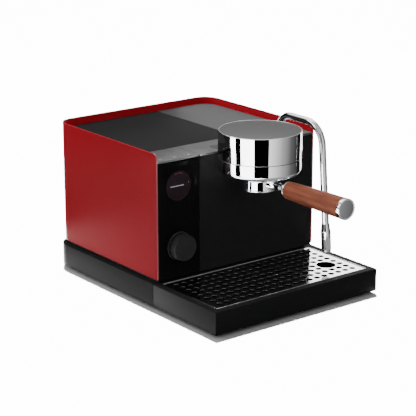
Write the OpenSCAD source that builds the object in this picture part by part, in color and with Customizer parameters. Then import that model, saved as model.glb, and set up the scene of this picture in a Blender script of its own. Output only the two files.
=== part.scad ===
// Compact home espresso machine with a drum-shaped brew group, a bayonet portafilter,
// a swivelling steam wand, a pull-out drip tray and a lift-out water tank.
// X runs to the right seen from the front, Y to the back, Z up from the resting surface.
// The origin is the middle of the footprint of the whole machine, on that surface.

/* [Base and drip tray] */
// Width of the base
base_w = 315; // [305:1:325]
// Depth of the base and the drip tray together
base_d = 426; // [420:1:432]
// Height of the base above its feet
base_h = 35.5; // [34:0.5:36]
// Height of the rubber feet
foot_h = 5; // [5:0.5:7]
// Radius of the base's two rear corners
base_r = 35; // [31:1:38]
// Depth of the pull-out drip tray
tray_d = 152.7; // [151:0.1:154]
// Distance between neighbouring holes of the grate
grate_pitch = 14.5; // [14:0.1:14.8]
// Diameter of the grate's small holes
grate_hole_d = 10; // [8:0.5:11]
// Diameter of the grate's large hole below the steam wand
wand_hole_d = 30; // [26:1:32]

/* [Casing] */
// Width over the painted wrap
wrap_w = 305.6; // [304:0.1:308]
// Sheet thickness of the wrap
wrap_t = 2; // [1.6:0.1:2.2]
// Height of the open shadow gap between base and wrap
shadow_gap = 6.5; // [6:0.5:7]
// Height of the wrap
wrap_h = 193.9; // [192:0.1:196]
// Outer radius of the wrap's rear corners
wrap_r = 28; // [26:1:30]
// Depth of the deck below the wrap's top edge
deck_drop = 11.9; // [10:0.1:12]
// Width of the glossy control panel
control_w = 76.6; // [76:0.1:77.2]
// Depth of the strip that holds the three push buttons
strip_d = 57.8; // [57:0.1:58]

/* [Brew group and portafilter] */
// Diameter of the group's drum
group_d = 125.4; // [124:0.2:126]
// Distance from the front panel to the group's axis
group_out = 51.8; // [51:0.1:53]
// Top of the group above the resting surface
group_top = 266; // [265:0.5:267]
// How far the handle stands out in front of the drip tray
handle_reach = 97; // [95:1:100]
// Height of the handle's axis
handle_z = 187.5; // [187:0.1:188]
// Diameter of the wooden grip at its outer end
grip_d = 31.5; // [29:0.1:33]

/* [Controls] */
// Diameter of the round display
display_d = 46; // [40:1:48]
// Diameter of the dial
dial_d = 40; // [36:1:42]
// How far the dial stands out from the panel
dial_out = 17; // [16:0.5:18]
// Travel of each push button
button_travel = 1.2; // [0.8:0.1:1.4]

/* [Steam wand] */
// Distance of the wand from the middle of the machine
wand_x = 108.5; // [108:0.1:109]
// Diameter of the wand's tube
wand_d = 11; // [10:0.5:11]
// Highest point of the wand's centre line
wand_z = 260.5; // [259:0.5:260.5]
// Lean of the hanging part, in degrees from upright
wand_lean = 4.96; // [4.5:0.01:5.2]

/* [Hidden] */
$fn = 96;
hole_fn = 32;

eps = 0.5;

// Levels and planes of the casing
front_y = -(base_d - handle_reach) / 2;
rear_y = front_y + base_d;
handle_end_y = front_y - handle_reach;
tray_back = front_y + tray_d;
base_top = foot_h + base_h;
panel_y = tray_back - 5.8;
wrap_back = rear_y - 6.3;
wrap_z = base_top + shadow_gap;
wrap_top = wrap_z + wrap_h;
deck_z = wrap_top - deck_drop;
deck_t = 3;
deck_under = deck_z - deck_t;
inner_w = wrap_w - 2 * wrap_t - 1;
inner_r = wrap_r - wrap_t - 0.5;
strip_back = panel_y + strip_d;

// Base and chassis
seam = 0.4;
plinth_t = 3;
cover_t = 2;
plinth_front = tray_back + seam;
foot_r = 14;
screw_r = 1.9;
screw_head_r = 3.6;
screw_head_h = 1.4;
boss_x = base_w / 2 - 14;
boss_ys = [6, 120, 232];
pan_w = 292;
pan_t = 2;
pan_front = plinth_front + 2.4;
pan_back = wrap_back - 5.2;
pan_r = 24;
pan_top = base_top + 19.5;
pan_floor = base_top + pan_t;
rear_screw_xs = [-115, -45, 45, 115];
rear_screw_z = wrap_z + 6;

// Panels
panel_t = 3;
panel_z = base_top + 3.5;
panel_top = deck_under - 0.3;
control_top = panel_top - button_travel;
panel_split = -inner_w / 2 + control_w;
control_x = -112.5;
display_z = deck_z - 42;
dial_z = base_top + 53.5;
dial_ring_t = 3;
shaft_r = 3;
push_travel = 1.2;

// Push buttons
button_w = control_w / 3;
button_gap = 0.5;
switch_top = deck_under - 5.2;
board_z = deck_under - 12;

// Brew group, in plan centred on [0, group_y]
group_y = panel_y - group_out;
group_r = group_d / 2;
drum_gap = 1.3;
seam_z = group_top - 40.8;
skirt_z = group_top - 65.5;
skirt_fillet = 14;
collar_z = skirt_z + 2;
gasket_z = collar_z + 13;
collar_r = 45.6;
collar_bore = 34.2;
ear_r = 38;
ear_w = 20;
ear_h = 4.6;
ear_z = collar_z + 4.2;
unlock_deg = 45;
neck_half = 32;
neck_back = 12;

// Portafilter
ring_r = 27;
ring_bore = 24.5;
ring_z = skirt_z - 25;
cup_r = 33.5;
cup_top = gasket_z - 1.2;
basket_r = 29.4;
basket_t = 0.8;
basket_bottom = ring_z + 18.6;
ferrule_y = group_y - 62;
grip_y = group_y - 67;
cap_t = 6;
rod_r = 4;
rod_fit = 0.06;
grip_inner_d = grip_d - 5;
ferrule_r = grip_inner_d / 2 - 0.4;
ferrule_end_r = 9;
ferrule_rim = 1.5;

// Steam wand, in the plane X = wand_x
wand_r = wand_d / 2;
wand_r1 = 36;
wand_r2 = 27;
wand_axis_y = 14;
bend2_y = wand_axis_y - wand_r2;
bend1_y = bend2_y - 39;
wand_foot_z = deck_z - 17.5;
wand_fit = 0.08;
// the straight drop runs a little way into the bend, a hair thinner than it
drop_lap = 0.4;
drop_step = 0.02;
drop_top_y = bend1_y - wand_r1 * cos(wand_lean);
drop_top_z = wand_z - wand_r1 + wand_r1 * sin(wand_lean);
nozzle_z = base_top + 19.2;
drop_len = (drop_top_z - nozzle_z) / cos(wand_lean);
nozzle_y = drop_top_y - drop_len * sin(wand_lean);
sleeve_r = 7.65;
nozzle_len = 6.3;
sleeve_len = 28.8;
cone_len = 12.3;

// Water tank and its lid
tank_x0 = -141;
tank_x1 = 36;
tank_y0 = 48;
tank_y1 = 223;
tank_z = deck_z - 83;
tank_top = deck_z - 4.5;
tank_t = 2.5;
tank_r = 18;
lid_x0 = -inner_w / 2 + 0.3;
lid_x1 = 43;
lid_y0 = strip_back + 0.6;
lid_y1 = 251.3;
lid_t = 2.7;
lid_r = 28;
hinge_y = tank_y1 + 4;
hinge_z = deck_z - 5.6;
knuckle_r = 2.7;
pin_r = 1.5;
pin_fit = 0.06;
hinge_xs = [-112, 6];
ear_t = 4;
lug_t = 4;
spigot = [-50, 80];
shelf_t = 2;
shelf_z = tank_z - 3.5;

// Rear power inlet and rocker switch
inlet_x = 78;
rocker_x = 106;
inlet_z = wrap_z + 31;
inlet_face = [64, 32];
inlet_t = 2.2;
inlet_back = wrap_back + inlet_t;
socket_w = 24.6;
socket_h = 16.8;
socket_depth = 17;
rocker_w = 18;
rocker_half = 10;
rocker_swing = 10;
rocker_face = 4.2;
rocker_y = wrap_back - 3;

// Drip tray and grate
tray_skin = 2.5;
tray_rim = 11.5;
basin_z = foot_h + 6;
grate_z = base_top - 2.6;
grate_t = 2;
grate_w = base_w - 2 * tray_rim;
grate_front = front_y + 12;
grate_back = panel_y - 1.4;
grate_cols = 9;
grate_rows = 8;
grate_row_y = front_y + 26.8;

// Outline with square front corners and round rear corners
module rear_round(w, y0, y1, r) {
    translate([-w / 2, y0]) square([w, y1 - y0 - r]);
    translate([-w / 2 + r, y0]) square([w - 2 * r, y1 - y0]);
    for (side = [-1, 1])
        translate([side * (w / 2 - r), y1 - r]) circle(r = r);
}

// Straight bar with round ends between two points
module pipe(a, b, r) {
    d = b - a;
    len = norm(d);
    translate(a)
        rotate([0, acos(d[2] / len), atan2(d[1], d[0])])
            cylinder(h = len, r = r, $fn = hole_fn);
}

// Bent pipe through a list of points, with ball corners
module pipe_run(points, r) {
    last = len(points) - 1;
    for (i = [0 : last - 1])
        pipe(points[i], points[i + 1], r);
    for (i = [1 : last - 1])
        translate(points[i]) sphere(r = r, $fn = hole_fn);
}

// Points of an arc, in degrees
function arc(cx, cy, r, a0, a1, n) =
    [for (i = [0 : n]) [cx + r * cos(a0 + (a1 - a0) * i / n), cy + r * sin(a0 + (a1 - a0) * i / n)]];

// A countersunk machine screw, head on the outside, pointing along +Z
module screw(len) {
    translate([0, 0, -screw_head_h]) cylinder(h = screw_head_h, r = screw_head_r, $fn = hole_fn);
    cylinder(h = len, r = screw_r, $fn = hole_fn);
}

module base_plinth() {
    color([0.07, 0.07, 0.07]) {
        difference() {
            translate([0, 0, foot_h])
                linear_extrude(base_h) rear_round(base_w, plinth_front, rear_y, base_r);
            translate([0, 0, foot_h - eps])
                linear_extrude(base_h - plinth_t + eps)
                    rear_round(base_w - 2 * plinth_t, plinth_front + plinth_t, rear_y - plinth_t,
                        base_r - plinth_t);
        }
        difference() {
            for (side = [-1, 1], y = boss_ys)
                translate([side * boss_x, y, foot_h + cover_t])
                    cylinder(h = base_h - cover_t - plinth_t + eps, r = 4, $fn = hole_fn);
            for (side = [-1, 1], y = boss_ys)
                translate([side * boss_x, y, foot_h])
                    cylinder(h = base_h - plinth_t - 4, r = screw_r + 0.1, $fn = hole_fn);
        }
    }
}

module bottom_cover() {
    inset = plinth_t + 0.5;
    color([0.12, 0.12, 0.12])
        difference() {
            translate([0, 0, foot_h])
                linear_extrude(cover_t)
                    rear_round(base_w - 2 * inset, plinth_front + inset, rear_y - inset, base_r - inset);
            for (side = [-1, 1], y = boss_ys)
                translate([side * boss_x, y, foot_h - eps])
                    cylinder(h = cover_t + 2 * eps, r = screw_r + 0.1, $fn = hole_fn);
            for (i = [-5 : 5])
                translate([i * 12 - 2, 150, foot_h - eps]) cube([4, 60, cover_t + 2 * eps]);
        }
}

module foot() {
    cylinder(h = foot_h - 1, r1 = foot_r - 1.2, r2 = foot_r);
    translate([0, 0, foot_h - 1]) cylinder(h = 1, r = foot_r);
}

module base_feet() {
    color([0.05, 0.05, 0.05])
        for (side = [-1, 1], y = [24, 228])
            translate([side * 122, y, 0]) foot();
}

module tray_feet() {
    color([0.05, 0.05, 0.05])
        for (side = [-1, 1], y = [front_y + 30, tray_back - 30])
            translate([side * 122, y, 0])
                cylinder(h = basin_z - 2, r = foot_r);
}

module case_screws() {
    color([0.6, 0.6, 0.62]) {
        for (side = [-1, 1], y = boss_ys)
            translate([side * boss_x, y, foot_h]) screw(16);
        for (x = rear_screw_xs)
            translate([x, wrap_back, rear_screw_z]) rotate([90, 0, 0]) screw(9);
    }
}

module chassis_pan() {
    color([0.1, 0.1, 0.1])
        difference() {
            translate([0, 0, base_top])
                linear_extrude(pan_top - base_top) rear_round(pan_w, pan_front, pan_back, pan_r);
            translate([0, 0, pan_floor])
                linear_extrude(pan_top)
                    rear_round(pan_w - 2 * pan_t, pan_front + pan_t, pan_back - pan_t, pan_r - pan_t);
            for (x = rear_screw_xs)
                translate([x, pan_back + eps, rear_screw_z])
                    rotate([90, 0, 0]) cylinder(h = 4, r = screw_r + 0.1, $fn = hole_fn);
        }
}

// Side view of the wrap, with its two upper front corners rounded
module wrap_side() {
    r = 9;
    translate([panel_y, wrap_z]) square([wrap_back - panel_y + eps, wrap_h - r]);
    translate([panel_y + r, wrap_z]) square([wrap_back - panel_y - r + eps, wrap_h]);
    translate([panel_y + r, wrap_top - r]) circle(r = r);
}

module outer_wrap() {
    color([0.62, 0.11, 0.12])
        difference() {
            intersection() {
                translate([0, 0, wrap_z])
                    linear_extrude(wrap_h)
                        difference() {
                            rear_round(wrap_w, panel_y, wrap_back, wrap_r);
                            rear_round(wrap_w - 2 * wrap_t, panel_y - eps, wrap_back - wrap_t,
                                wrap_r - wrap_t);
                        }
                translate([-wrap_w, 0, 0])
                    rotate([90, 0, 90]) linear_extrude(2 * wrap_w) wrap_side();
            }
            for (x = rear_screw_xs)
                translate([x, wrap_back + eps, rear_screw_z])
                    rotate([90, 0, 0]) cylinder(h = wrap_t + 2 * eps, r = screw_r + 0.2, $fn = hole_fn);
            for (i = [0 : 10])
                translate([50 + i * 6.5, wrap_back - wrap_t - eps, wrap_z + 92])
                    cube([3, wrap_t + 2 * eps, 44]);
            translate([(inlet_x + rocker_x) / 2 - inlet_face[0] / 2 + 3, wrap_back - wrap_t - eps,
                    inlet_z - inlet_face[1] / 2 + 2])
                cube([inlet_face[0] - 6, wrap_t + 2 * eps, inlet_face[1] - 4]);
        }
}

module vent_baffle() {
    color([0.08, 0.08, 0.08])
        translate([45, wrap_back - wrap_t - 2.2, wrap_z + 86]) cube([77, 2, 56]);
}

// Half-depth round notch that the drum of the group stands in
module drum_notch(z0, z1) {
    translate([0, group_y, z0]) cylinder(h = z1 - z0, r = group_r + drum_gap);
}

module front_panel() {
    color([0.08, 0.08, 0.08])
        difference() {
            translate([panel_split + 0.3, panel_y, panel_z])
                cube([inner_w / 2 - panel_split - 0.3, panel_t, panel_top - panel_z]);
            drum_notch(skirt_z - 1.5, deck_z);
        }
}

module control_panel() {
    color([0.02, 0.02, 0.02])
        difference() {
            translate([-inner_w / 2, panel_y, panel_z])
                cube([control_w - 0.3, panel_t, control_top - panel_z]);
            translate([control_x, panel_y - eps, display_z])
                rotate([-90, 0, 0]) cylinder(h = panel_t + 2 * eps, r = display_d / 2 + 0.1);
            translate([control_x, panel_y - eps, dial_z])
                rotate([-90, 0, 0]) cylinder(h = panel_t + 2 * eps, r = shaft_r + 2, $fn = hole_fn);
        }
}

module display_lens() {
    color([0.12, 0.08, 0.11])
        translate([control_x, panel_y + 0.1, display_z])
            rotate([-90, 0, 0]) cylinder(h = panel_t + 1.5, r = display_d / 2);
}

module dial_ring() {
    color([0.05, 0.05, 0.05])
        translate([control_x, panel_y, dial_z])
            rotate([90, 0, 0])
                difference() {
                    cylinder(h = dial_ring_t, r = dial_d / 2 + 2);
                    translate([0, 0, -eps]) cylinder(h = dial_ring_t + 2 * eps, r = 8);
                }
}

// The dial turns on its own shaft, which reaches back through the panel
module dial() {
    face_y = panel_y - dial_out;
    color([0.09, 0.09, 0.09]) {
        translate([control_x, face_y, dial_z])
            rotate([-90, 0, 0]) {
                cylinder(h = 1, r1 = dial_d / 2 - 1, r2 = dial_d / 2);
                translate([0, 0, 1])
                    cylinder(h = dial_out - dial_ring_t - push_travel - 1.8, r = dial_d / 2);
            }
        translate([control_x, face_y + dial_out - dial_ring_t - push_travel - 1, dial_z])
            rotate([-90, 0, 0])
                cylinder(h = dial_ring_t + push_travel + 7, r = shaft_r, $fn = hole_fn);
    }
}

// Sleeve that slides in the encoder with the shaft but does not turn
module encoder_sleeve() {
    color([0.7, 0.7, 0.7])
        translate([control_x, panel_y + 1, dial_z])
            rotate([-90, 0, 0])
                difference() {
                    cylinder(h = 5, r = shaft_r + 1.6, $fn = hole_fn);
                    translate([0, 0, -eps])
                        cylinder(h = 5 + 2 * eps, r = shaft_r + 0.06, $fn = hole_fn);
                }
}

module encoder_body() {
    color([0.25, 0.27, 0.3])
        translate([control_x, panel_y + panel_t + 0.1, dial_z])
            difference() {
                translate([-8, 0, -8]) cube([16, 7, 16]);
                translate([0, -eps, 0])
                    rotate([-90, 0, 0]) cylinder(h = 6, r = shaft_r + 1.7, $fn = hole_fn);
            }
}

module control_board() {
    color([0.1, 0.35, 0.2])
        translate([-145, panel_y + panel_t + 7.3, pan_top + 2]) cube([66, 1.6, 148]);
}

module deck_frame() {
    h = 6;
    color([0.13, 0.13, 0.13])
        difference() {
            translate([0, 0, deck_under - h])
                linear_extrude(h)
                    rear_round(inner_w, panel_y + panel_t + 0.2, wrap_back - wrap_t - 0.5, inner_r);
            // opening for the tank, and a wider one where the lid's rear part swings down behind it
            translate([tank_x0 - 1.5, tank_y0 - 1.5, deck_under - h - eps])
                cube([tank_x1 - tank_x0 + 3, tank_y1 - tank_y0, h + 2 * eps]);
            translate([-inner_w / 2 - eps, hinge_y - 6, deck_under - h - eps])
                cube([lid_x1 + inner_w / 2 + 1 + eps, 60, h + 2 * eps]);
            // pocket for the push buttons, and their way down to the switches
            translate([-inner_w / 2 - eps, panel_y, deck_under - button_travel - 0.6])
                cube([control_w + 1, strip_d + 0.2, h]);
            translate([-inner_w / 2 + 5, panel_y + 12, deck_under - h - eps])
                cube([control_w - 9, strip_d - 20, h + 2 * eps]);
            translate([-neck_half - 1, panel_y, deck_under - h - eps])
                cube([2 * neck_half + 2, neck_back - panel_y + 1, h + 2 * eps]);
            drum_notch(deck_under - h - eps, deck_z);
            translate([wand_x, wand_axis_y, deck_under - h - eps])
                cylinder(h = h + 2 * eps, r = 12);
            translate([50, 50, deck_under - h - eps]) cube([88, 186, h + 2 * eps]);
        }
}

module front_strip() {
    x0 = panel_split + 0.3;
    color([0.45, 0.45, 0.46])
        difference() {
            translate([x0, panel_y, deck_under])
                cube([inner_w / 2 - x0, strip_d, deck_t]);
            drum_notch(deck_under - eps, deck_z + eps);
            translate([-neck_half - 0.4, panel_y - eps, deck_under - eps])
                cube([2 * neck_half + 0.8, neck_back - panel_y + 0.4 + eps, deck_t + 2 * eps]);
            translate([wand_x, wand_axis_y, deck_under - eps])
                cylinder(h = deck_t + 2 * eps, r = 9.4);
        }
}

module rear_deck() {
    color([0.4, 0.4, 0.41])
        translate([0, 0, deck_under])
            linear_extrude(deck_t)
                intersection() {
                    rear_round(inner_w, lid_y0, wrap_back - wrap_t - 0.5, inner_r);
                    translate([lid_x1 + 0.6, lid_y0]) square([inner_w, inner_w]);
                }
}

module push_button(index) {
    x = -inner_w / 2 + index * button_w;
    color([0.42, 0.42, 0.43]) {
        translate([x + button_gap / 2, panel_y + 0.2, deck_under])
            cube([button_w - button_gap, strip_d - 0.6, deck_t]);
        translate([x + button_w / 2 - 3, panel_y + strip_d / 2 - 3, switch_top + button_travel + 0.3])
            cube([6, 6, deck_under - switch_top - button_travel - 0.3 + eps]);
    }
}

module brew_button() {
    push_button(0);
}

module steam_button() {
    push_button(1);
}

module water_button() {
    push_button(2);
}

module button_board() {
    color([0.1, 0.35, 0.2]) {
        translate([-inner_w / 2 + 4, panel_y + 13, board_z]) cube([control_w - 6, strip_d - 20, 1.6]);
        for (i = [0 : 2])
            translate([-inner_w / 2 + (i + 0.5) * button_w - 6, panel_y + strip_d / 2 - 6, board_z + 1.6])
                cube([12, 12, switch_top - board_z - 1.6]);
    }
}

// Casting that carries the group: a bridge flush with the deck and an arm into the drum
module group_neck() {
    arm = 18;
    color([0.8, 0.8, 0.82]) {
        difference() {
            translate([-neck_half, panel_y + 0.2, skirt_z + 1])
                cube([2 * neck_half, neck_back - panel_y - 0.2, deck_z - skirt_z - 1]);
            translate([0, group_y, skirt_z]) cylinder(h = 100, r = group_r + 0.4);
        }
        difference() {
            translate([-arm, group_y + 20, skirt_z + 4])
                cube([2 * arm, -group_y - 20, 14]);
            translate([0, group_y, skirt_z]) cylinder(h = 30, r = collar_r + 0.2);
        }
    }
}

module group_shroud() {
    color([0.85, 0.85, 0.87])
        translate([0, group_y, 0])
            rotate_extrude()
                polygon([[group_r - 2, seam_z + 0.3], [group_r, seam_z + 0.3],
                    [group_r, group_top - 0.7], [group_r - 0.7, group_top],
                    [group_r - 2, group_top], [group_r - 2, group_top - 1.9],
                    [group_r - 7, group_top - 1.9], [group_r - 7, group_top - 4],
                    [group_r - 2, group_top - 4]]);
}

module group_skirt() {
    t = 2.5;
    cx = group_r - skirt_fillet;
    cz = skirt_z + skirt_fillet;
    color([0.85, 0.85, 0.87])
        difference() {
            translate([0, group_y, 0])
                rotate_extrude()
                    polygon(concat([[group_r - t, seam_z], [group_r, seam_z]],
                        arc(cx, cz, skirt_fillet, 0, -90, 12),
                        [[collar_r + 0.4, skirt_z], [collar_r + 0.4, skirt_z + t]],
                        arc(cx, cz, skirt_fillet - t, -90, 0, 12)));
            translate([-18.4, group_y + 20, skirt_z + 3.6]) cube([36.8, 60, 14.8]);
        }
}

module group_cap() {
    color([0.6, 0.6, 0.6])
        translate([0, group_y, group_top - 1.9]) cylinder(h = 1.7, r = group_r - 2.2);
}

module group_core() {
    color([0.75, 0.6, 0.3])
        translate([0, group_y, 0]) {
            difference() {
                translate([0, 0, gasket_z]) cylinder(h = 34, r = collar_r - 0.4);
                translate([0, 0, gasket_z - eps]) cylinder(h = 8 + eps, r = 35.2);
                translate([0, 0, gasket_z]) cylinder(h = 22, r = 2.1, $fn = hole_fn);
            }
            translate([0, 0, gasket_z + 34]) cylinder(h = 6, r = 9);
        }
}

module lock_collar() {
    color([0.7, 0.7, 0.72])
        translate([0, group_y, 0])
            difference() {
                translate([0, 0, collar_z]) cylinder(h = gasket_z - collar_z, r = collar_r - 0.1);
                translate([0, 0, collar_z - eps])
                    cylinder(h = gasket_z - collar_z + 2 * eps, r = collar_bore);
                translate([0, 0, ear_z - 0.5]) cylinder(h = ear_h + 1, r = ear_r + 0.6);
                rotate([0, 0, -unlock_deg])
                    translate([0, 0, collar_z - eps])
                        intersection() {
                            cylinder(h = 6, r = ear_r + 0.6);
                            translate([-50, -ear_w / 2 - 1, 0]) cube([100, ear_w + 2, 6]);
                        }
            }
}

module group_gasket() {
    color([0.15, 0.15, 0.15])
        translate([0, group_y, gasket_z + 0.4])
            difference() {
                cylinder(h = 7.4, r = 35);
                translate([0, 0, -eps]) cylinder(h = 9, r = 29.6);
            }
}

module shower_screen() {
    color([0.75, 0.75, 0.77])
        translate([0, group_y, gasket_z + 0.6])
            difference() {
                cylinder(h = 7.3, r = 29.2);
                translate([0, 0, 1.2]) cylinder(h = 3, r = 28);
                translate([0, 0, -eps]) cylinder(h = 9, r = 2.3, $fn = hole_fn);
            }
}

module screen_screw() {
    color([0.6, 0.6, 0.62])
        translate([0, group_y, gasket_z - 0.8]) {
            cylinder(h = 1.4, r = 5, $fn = hole_fn);
            cylinder(h = 20, r = 2, $fn = hole_fn);
        }
}

module group_bracket() {
    w = 68;
    y0 = neck_back + 0.2;
    top = deck_under - 8;
    color([0.5, 0.5, 0.52]) {
        translate([-w / 2, y0, pan_floor]) cube([w, 3, top - pan_floor]);
        translate([-w / 2, y0, pan_floor]) cube([w, 33, 3]);
        for (x = [-w / 2, w / 2 - 3])
            translate([x, 0, 0])
                rotate([90, 0, 90])
                    linear_extrude(3)
                        polygon([[y0 + 3, pan_floor + 3], [y0 + 33, pan_floor + 3], [y0 + 3, top - 40]]);
    }
}

module wand_collar() {
    color([0.85, 0.85, 0.87])
        translate([wand_x, wand_axis_y, 0])
            difference() {
                union() {
                    translate([0, 0, deck_z - 24]) cylinder(h = 24, r = 9.2);
                    translate([0, 0, deck_z]) cylinder(h = 3, r = 11);
                    translate([0, 0, deck_z + 3]) cylinder(h = 2, r1 = 11, r2 = 8.5);
                }
                translate([0, 0, wand_foot_z - 0.3])
                    cylinder(h = 40, r = wand_r + wand_fit);
            }
}

// Solid of the wand's bent tube with radius r
module wand_path(r, foot) {
    translate([wand_x, nozzle_y, nozzle_z])
        rotate([-wand_lean, 0, 0])
            translate([0, 0, nozzle_len + sleeve_len + 4])
                cylinder(h = drop_len - nozzle_len - sleeve_len - 4 + drop_lap, r = r - drop_step);
    translate([wand_x, bend1_y, wand_z - wand_r1])
        rotate([90, 0, 90]) rotate([0, 0, 90])
            rotate_extrude(angle = 90 - wand_lean) translate([wand_r1, 0]) circle(r = r);
    translate([wand_x, bend1_y, wand_z])
        rotate([-90, 0, 0]) cylinder(h = bend2_y - bend1_y, r = r);
    translate([wand_x, bend2_y, wand_z - wand_r2])
        rotate([90, 0, 90])
            rotate_extrude(angle = 90) translate([wand_r2, 0]) circle(r = r);
    translate([wand_x, wand_axis_y, foot])
        cylinder(h = wand_z - wand_r2 - foot, r = r);
}

module wand_tube() {
    color([0.85, 0.85, 0.87]) wand_path(wand_r, wand_foot_z);
}

module wand_sleeve() {
    color([0.8, 0.8, 0.82])
        translate([wand_x, nozzle_y, nozzle_z])
            rotate([-wand_lean, 0, 0])
                difference() {
                    union() {
                        translate([0, 0, nozzle_len]) cylinder(h = sleeve_len, r = sleeve_r);
                        translate([0, 0, nozzle_len + sleeve_len])
                            cylinder(h = cone_len, r1 = sleeve_r, r2 = wand_r + 0.4);
                    }
                    translate([0, 0, nozzle_len + sleeve_len + 3.9])
                        cylinder(h = cone_len, r = wand_r + 0.05);
                }
}

module wand_nozzle() {
    color([0.7, 0.7, 0.72])
        translate([wand_x, nozzle_y, nozzle_z])
            rotate([-wand_lean, 0, 0])
                difference() {
                    union() {
                        cylinder(h = 3, r1 = 4.8, r2 = 7.1);
                        translate([0, 0, 3]) cylinder(h = nozzle_len - 3.2, r = 7.1);
                    }
                    translate([0, 0, -eps]) cylinder(h = 4, r = 0.8, $fn = 16);
                }
}

module tank_shelf() {
    x0 = tank_x0 - 2;
    w = tank_x1 - tank_x0 + 4;
    color([0.55, 0.55, 0.57])
        difference() {
            union() {
                translate([x0, tank_y0 - 1, shelf_z]) cube([w, tank_y1 - tank_y0 + 2, shelf_t]);
                for (x = [x0, x0 + w - shelf_t])
                    translate([x, tank_y0 - 1, pan_floor])
                        cube([shelf_t, tank_y1 - tank_y0 + 2, shelf_z - pan_floor + eps]);
            }
            translate([spigot[0], spigot[1], shelf_z - eps]) cylinder(h = 4, r = 12);
            translate([tank_x1 - 2, 215, 85])
                rotate([0, 90, 0]) cylinder(h = 8, r = 6, $fn = hole_fn);
        }
}

module tank_socket() {
    color([0.15, 0.15, 0.15])
        translate([spigot[0], spigot[1], 0])
            difference() {
                union() {
                    translate([0, 0, shelf_z - 20]) cylinder(h = 20, r = 16);
                    translate([0, 0, shelf_z - 24]) cylinder(h = 5, r = 7);
                }
                translate([0, 0, shelf_z - 12]) cylinder(h = 20, r = 9.4);
            }
}

module tank_outline(inset) {
    x0 = tank_x0 + inset;
    x1 = tank_x1 - inset;
    y0 = tank_y0 + inset;
    y1 = tank_y1 - inset;
    r = tank_r - inset;
    translate([x0 + r, y0]) square([x1 - x0 - 2 * r, y1 - y0]);
    translate([x0, y0 + r]) square([x1 - x0, y1 - y0 - 2 * r]);
    for (x = [x0 + r, x1 - r], y = [y0 + r, y1 - r])
        translate([x, y]) circle(r = r);
}

module water_tank() {
    color([0.7, 0.75, 0.8, 0.5])
        difference() {
            union() {
                translate([0, 0, tank_z]) linear_extrude(tank_top - tank_z) tank_outline(0);
                translate([spigot[0], spigot[1], tank_z - 9]) cylinder(h = 9 + eps, r = 9);
                // hinge ears on the rear wall
                for (x = hinge_xs) {
                    translate([x - ear_t / 2, hinge_y, hinge_z])
                        rotate([0, 90, 0]) cylinder(h = ear_t, r = knuckle_r, $fn = hole_fn);
                    translate([x - ear_t / 2, tank_y1 - tank_t, hinge_z - knuckle_r])
                        cube([ear_t, hinge_y - tank_y1 + tank_t, 2 * knuckle_r - 1.7]);
                }
            }
            translate([0, 0, tank_z + tank_t]) linear_extrude(100) tank_outline(tank_t);
            translate([spigot[0], spigot[1], tank_z - 10]) cylinder(h = 20, r = 6.5);
            for (x = hinge_xs)
                translate([x - ear_t, hinge_y, hinge_z])
                    rotate([0, 90, 0]) cylinder(h = 2 * ear_t, r = pin_r + pin_fit, $fn = hole_fn);
        }
}

module tank_valve() {
    color([0.9, 0.9, 0.9])
        translate([spigot[0], spigot[1], tank_z - 8]) {
            cylinder(h = 14, r = 3, $fn = hole_fn);
            difference() {
                translate([0, 0, 1]) cylinder(h = 3, r = 6.4);
                for (a = [0 : 60 : 300])
                    rotate([0, 0, a]) translate([4.7, 0, 0]) cylinder(h = 5, r = 1, $fn = 16);
            }
            translate([0, 0, 10.6]) cylinder(h = 3, r = 8);
        }
}

module lid_pins() {
    color([0.7, 0.7, 0.72])
        for (x = hinge_xs)
            translate([x - ear_t / 2 - lug_t, hinge_y, hinge_z])
                rotate([0, 90, 0]) cylinder(h = ear_t + 2 * lug_t, r = pin_r, $fn = hole_fn);
}

module tank_lid() {
    color([0.2, 0.2, 0.2]) {
        translate([0, 0, deck_z - lid_t])
            linear_extrude(lid_t) {
                translate([lid_x0, lid_y0]) square([lid_x1 - lid_x0, lid_y1 - lid_y0 - lid_r]);
                translate([lid_x0 + lid_r, lid_y0]) square([lid_x1 - lid_x0 - lid_r, lid_y1 - lid_y0]);
                translate([lid_x0 + lid_r, lid_y1 - lid_r]) circle(r = lid_r);
            }
        difference() {
            for (x = hinge_xs, side = [-1, 1])
                translate([x + side * (ear_t + lug_t + 0.4) / 2 - lug_t / 2, hinge_y, hinge_z]) {
                    rotate([0, 90, 0]) cylinder(h = lug_t, r = knuckle_r, $fn = hole_fn);
                    translate([0, -knuckle_r, 0])
                        cube([lug_t, 2 * knuckle_r, deck_z - lid_t - hinge_z + eps]);
                }
            for (x = hinge_xs)
                translate([x - 10, hinge_y, hinge_z])
                    rotate([0, 90, 0]) cylinder(h = 20, r = pin_r + pin_fit, $fn = hole_fn);
        }
    }
}

module pump() {
    color([0.3, 0.3, 0.32])
        translate([spigot[0], 110, 85])
            rotate([-90, 0, 0]) {
                cylinder(h = 22, r = 14);
                translate([0, 0, 22]) cylinder(h = 40, r = 24);
                translate([0, 0, 62]) cylinder(h = 22, r = 12);
            }
}

module pump_mounts() {
    color([0.1, 0.1, 0.1])
        for (y = [114, 176])
            difference() {
                translate([spigot[0] - 18, y, pan_floor]) cube([36, 12, 44]);
                translate([spigot[0], y - eps, 85])
                    rotate([-90, 0, 0]) cylinder(h = 13, r = y < 150 ? 14.1 : 12.1);
            }
}

module water_hoses() {
    x = spigot[0];
    color([0.85, 0.85, 0.85]) {
        pipe_run([[x, spigot[1], shelf_z - 24.2], [x, spigot[1], 85], [x, 109.8, 85]], 5);
        pipe_run([[x, 194.2, 85], [x, 215, 85], [92, 215, 85], [92, 143.2, 85]], 4);
    }
}

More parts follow.
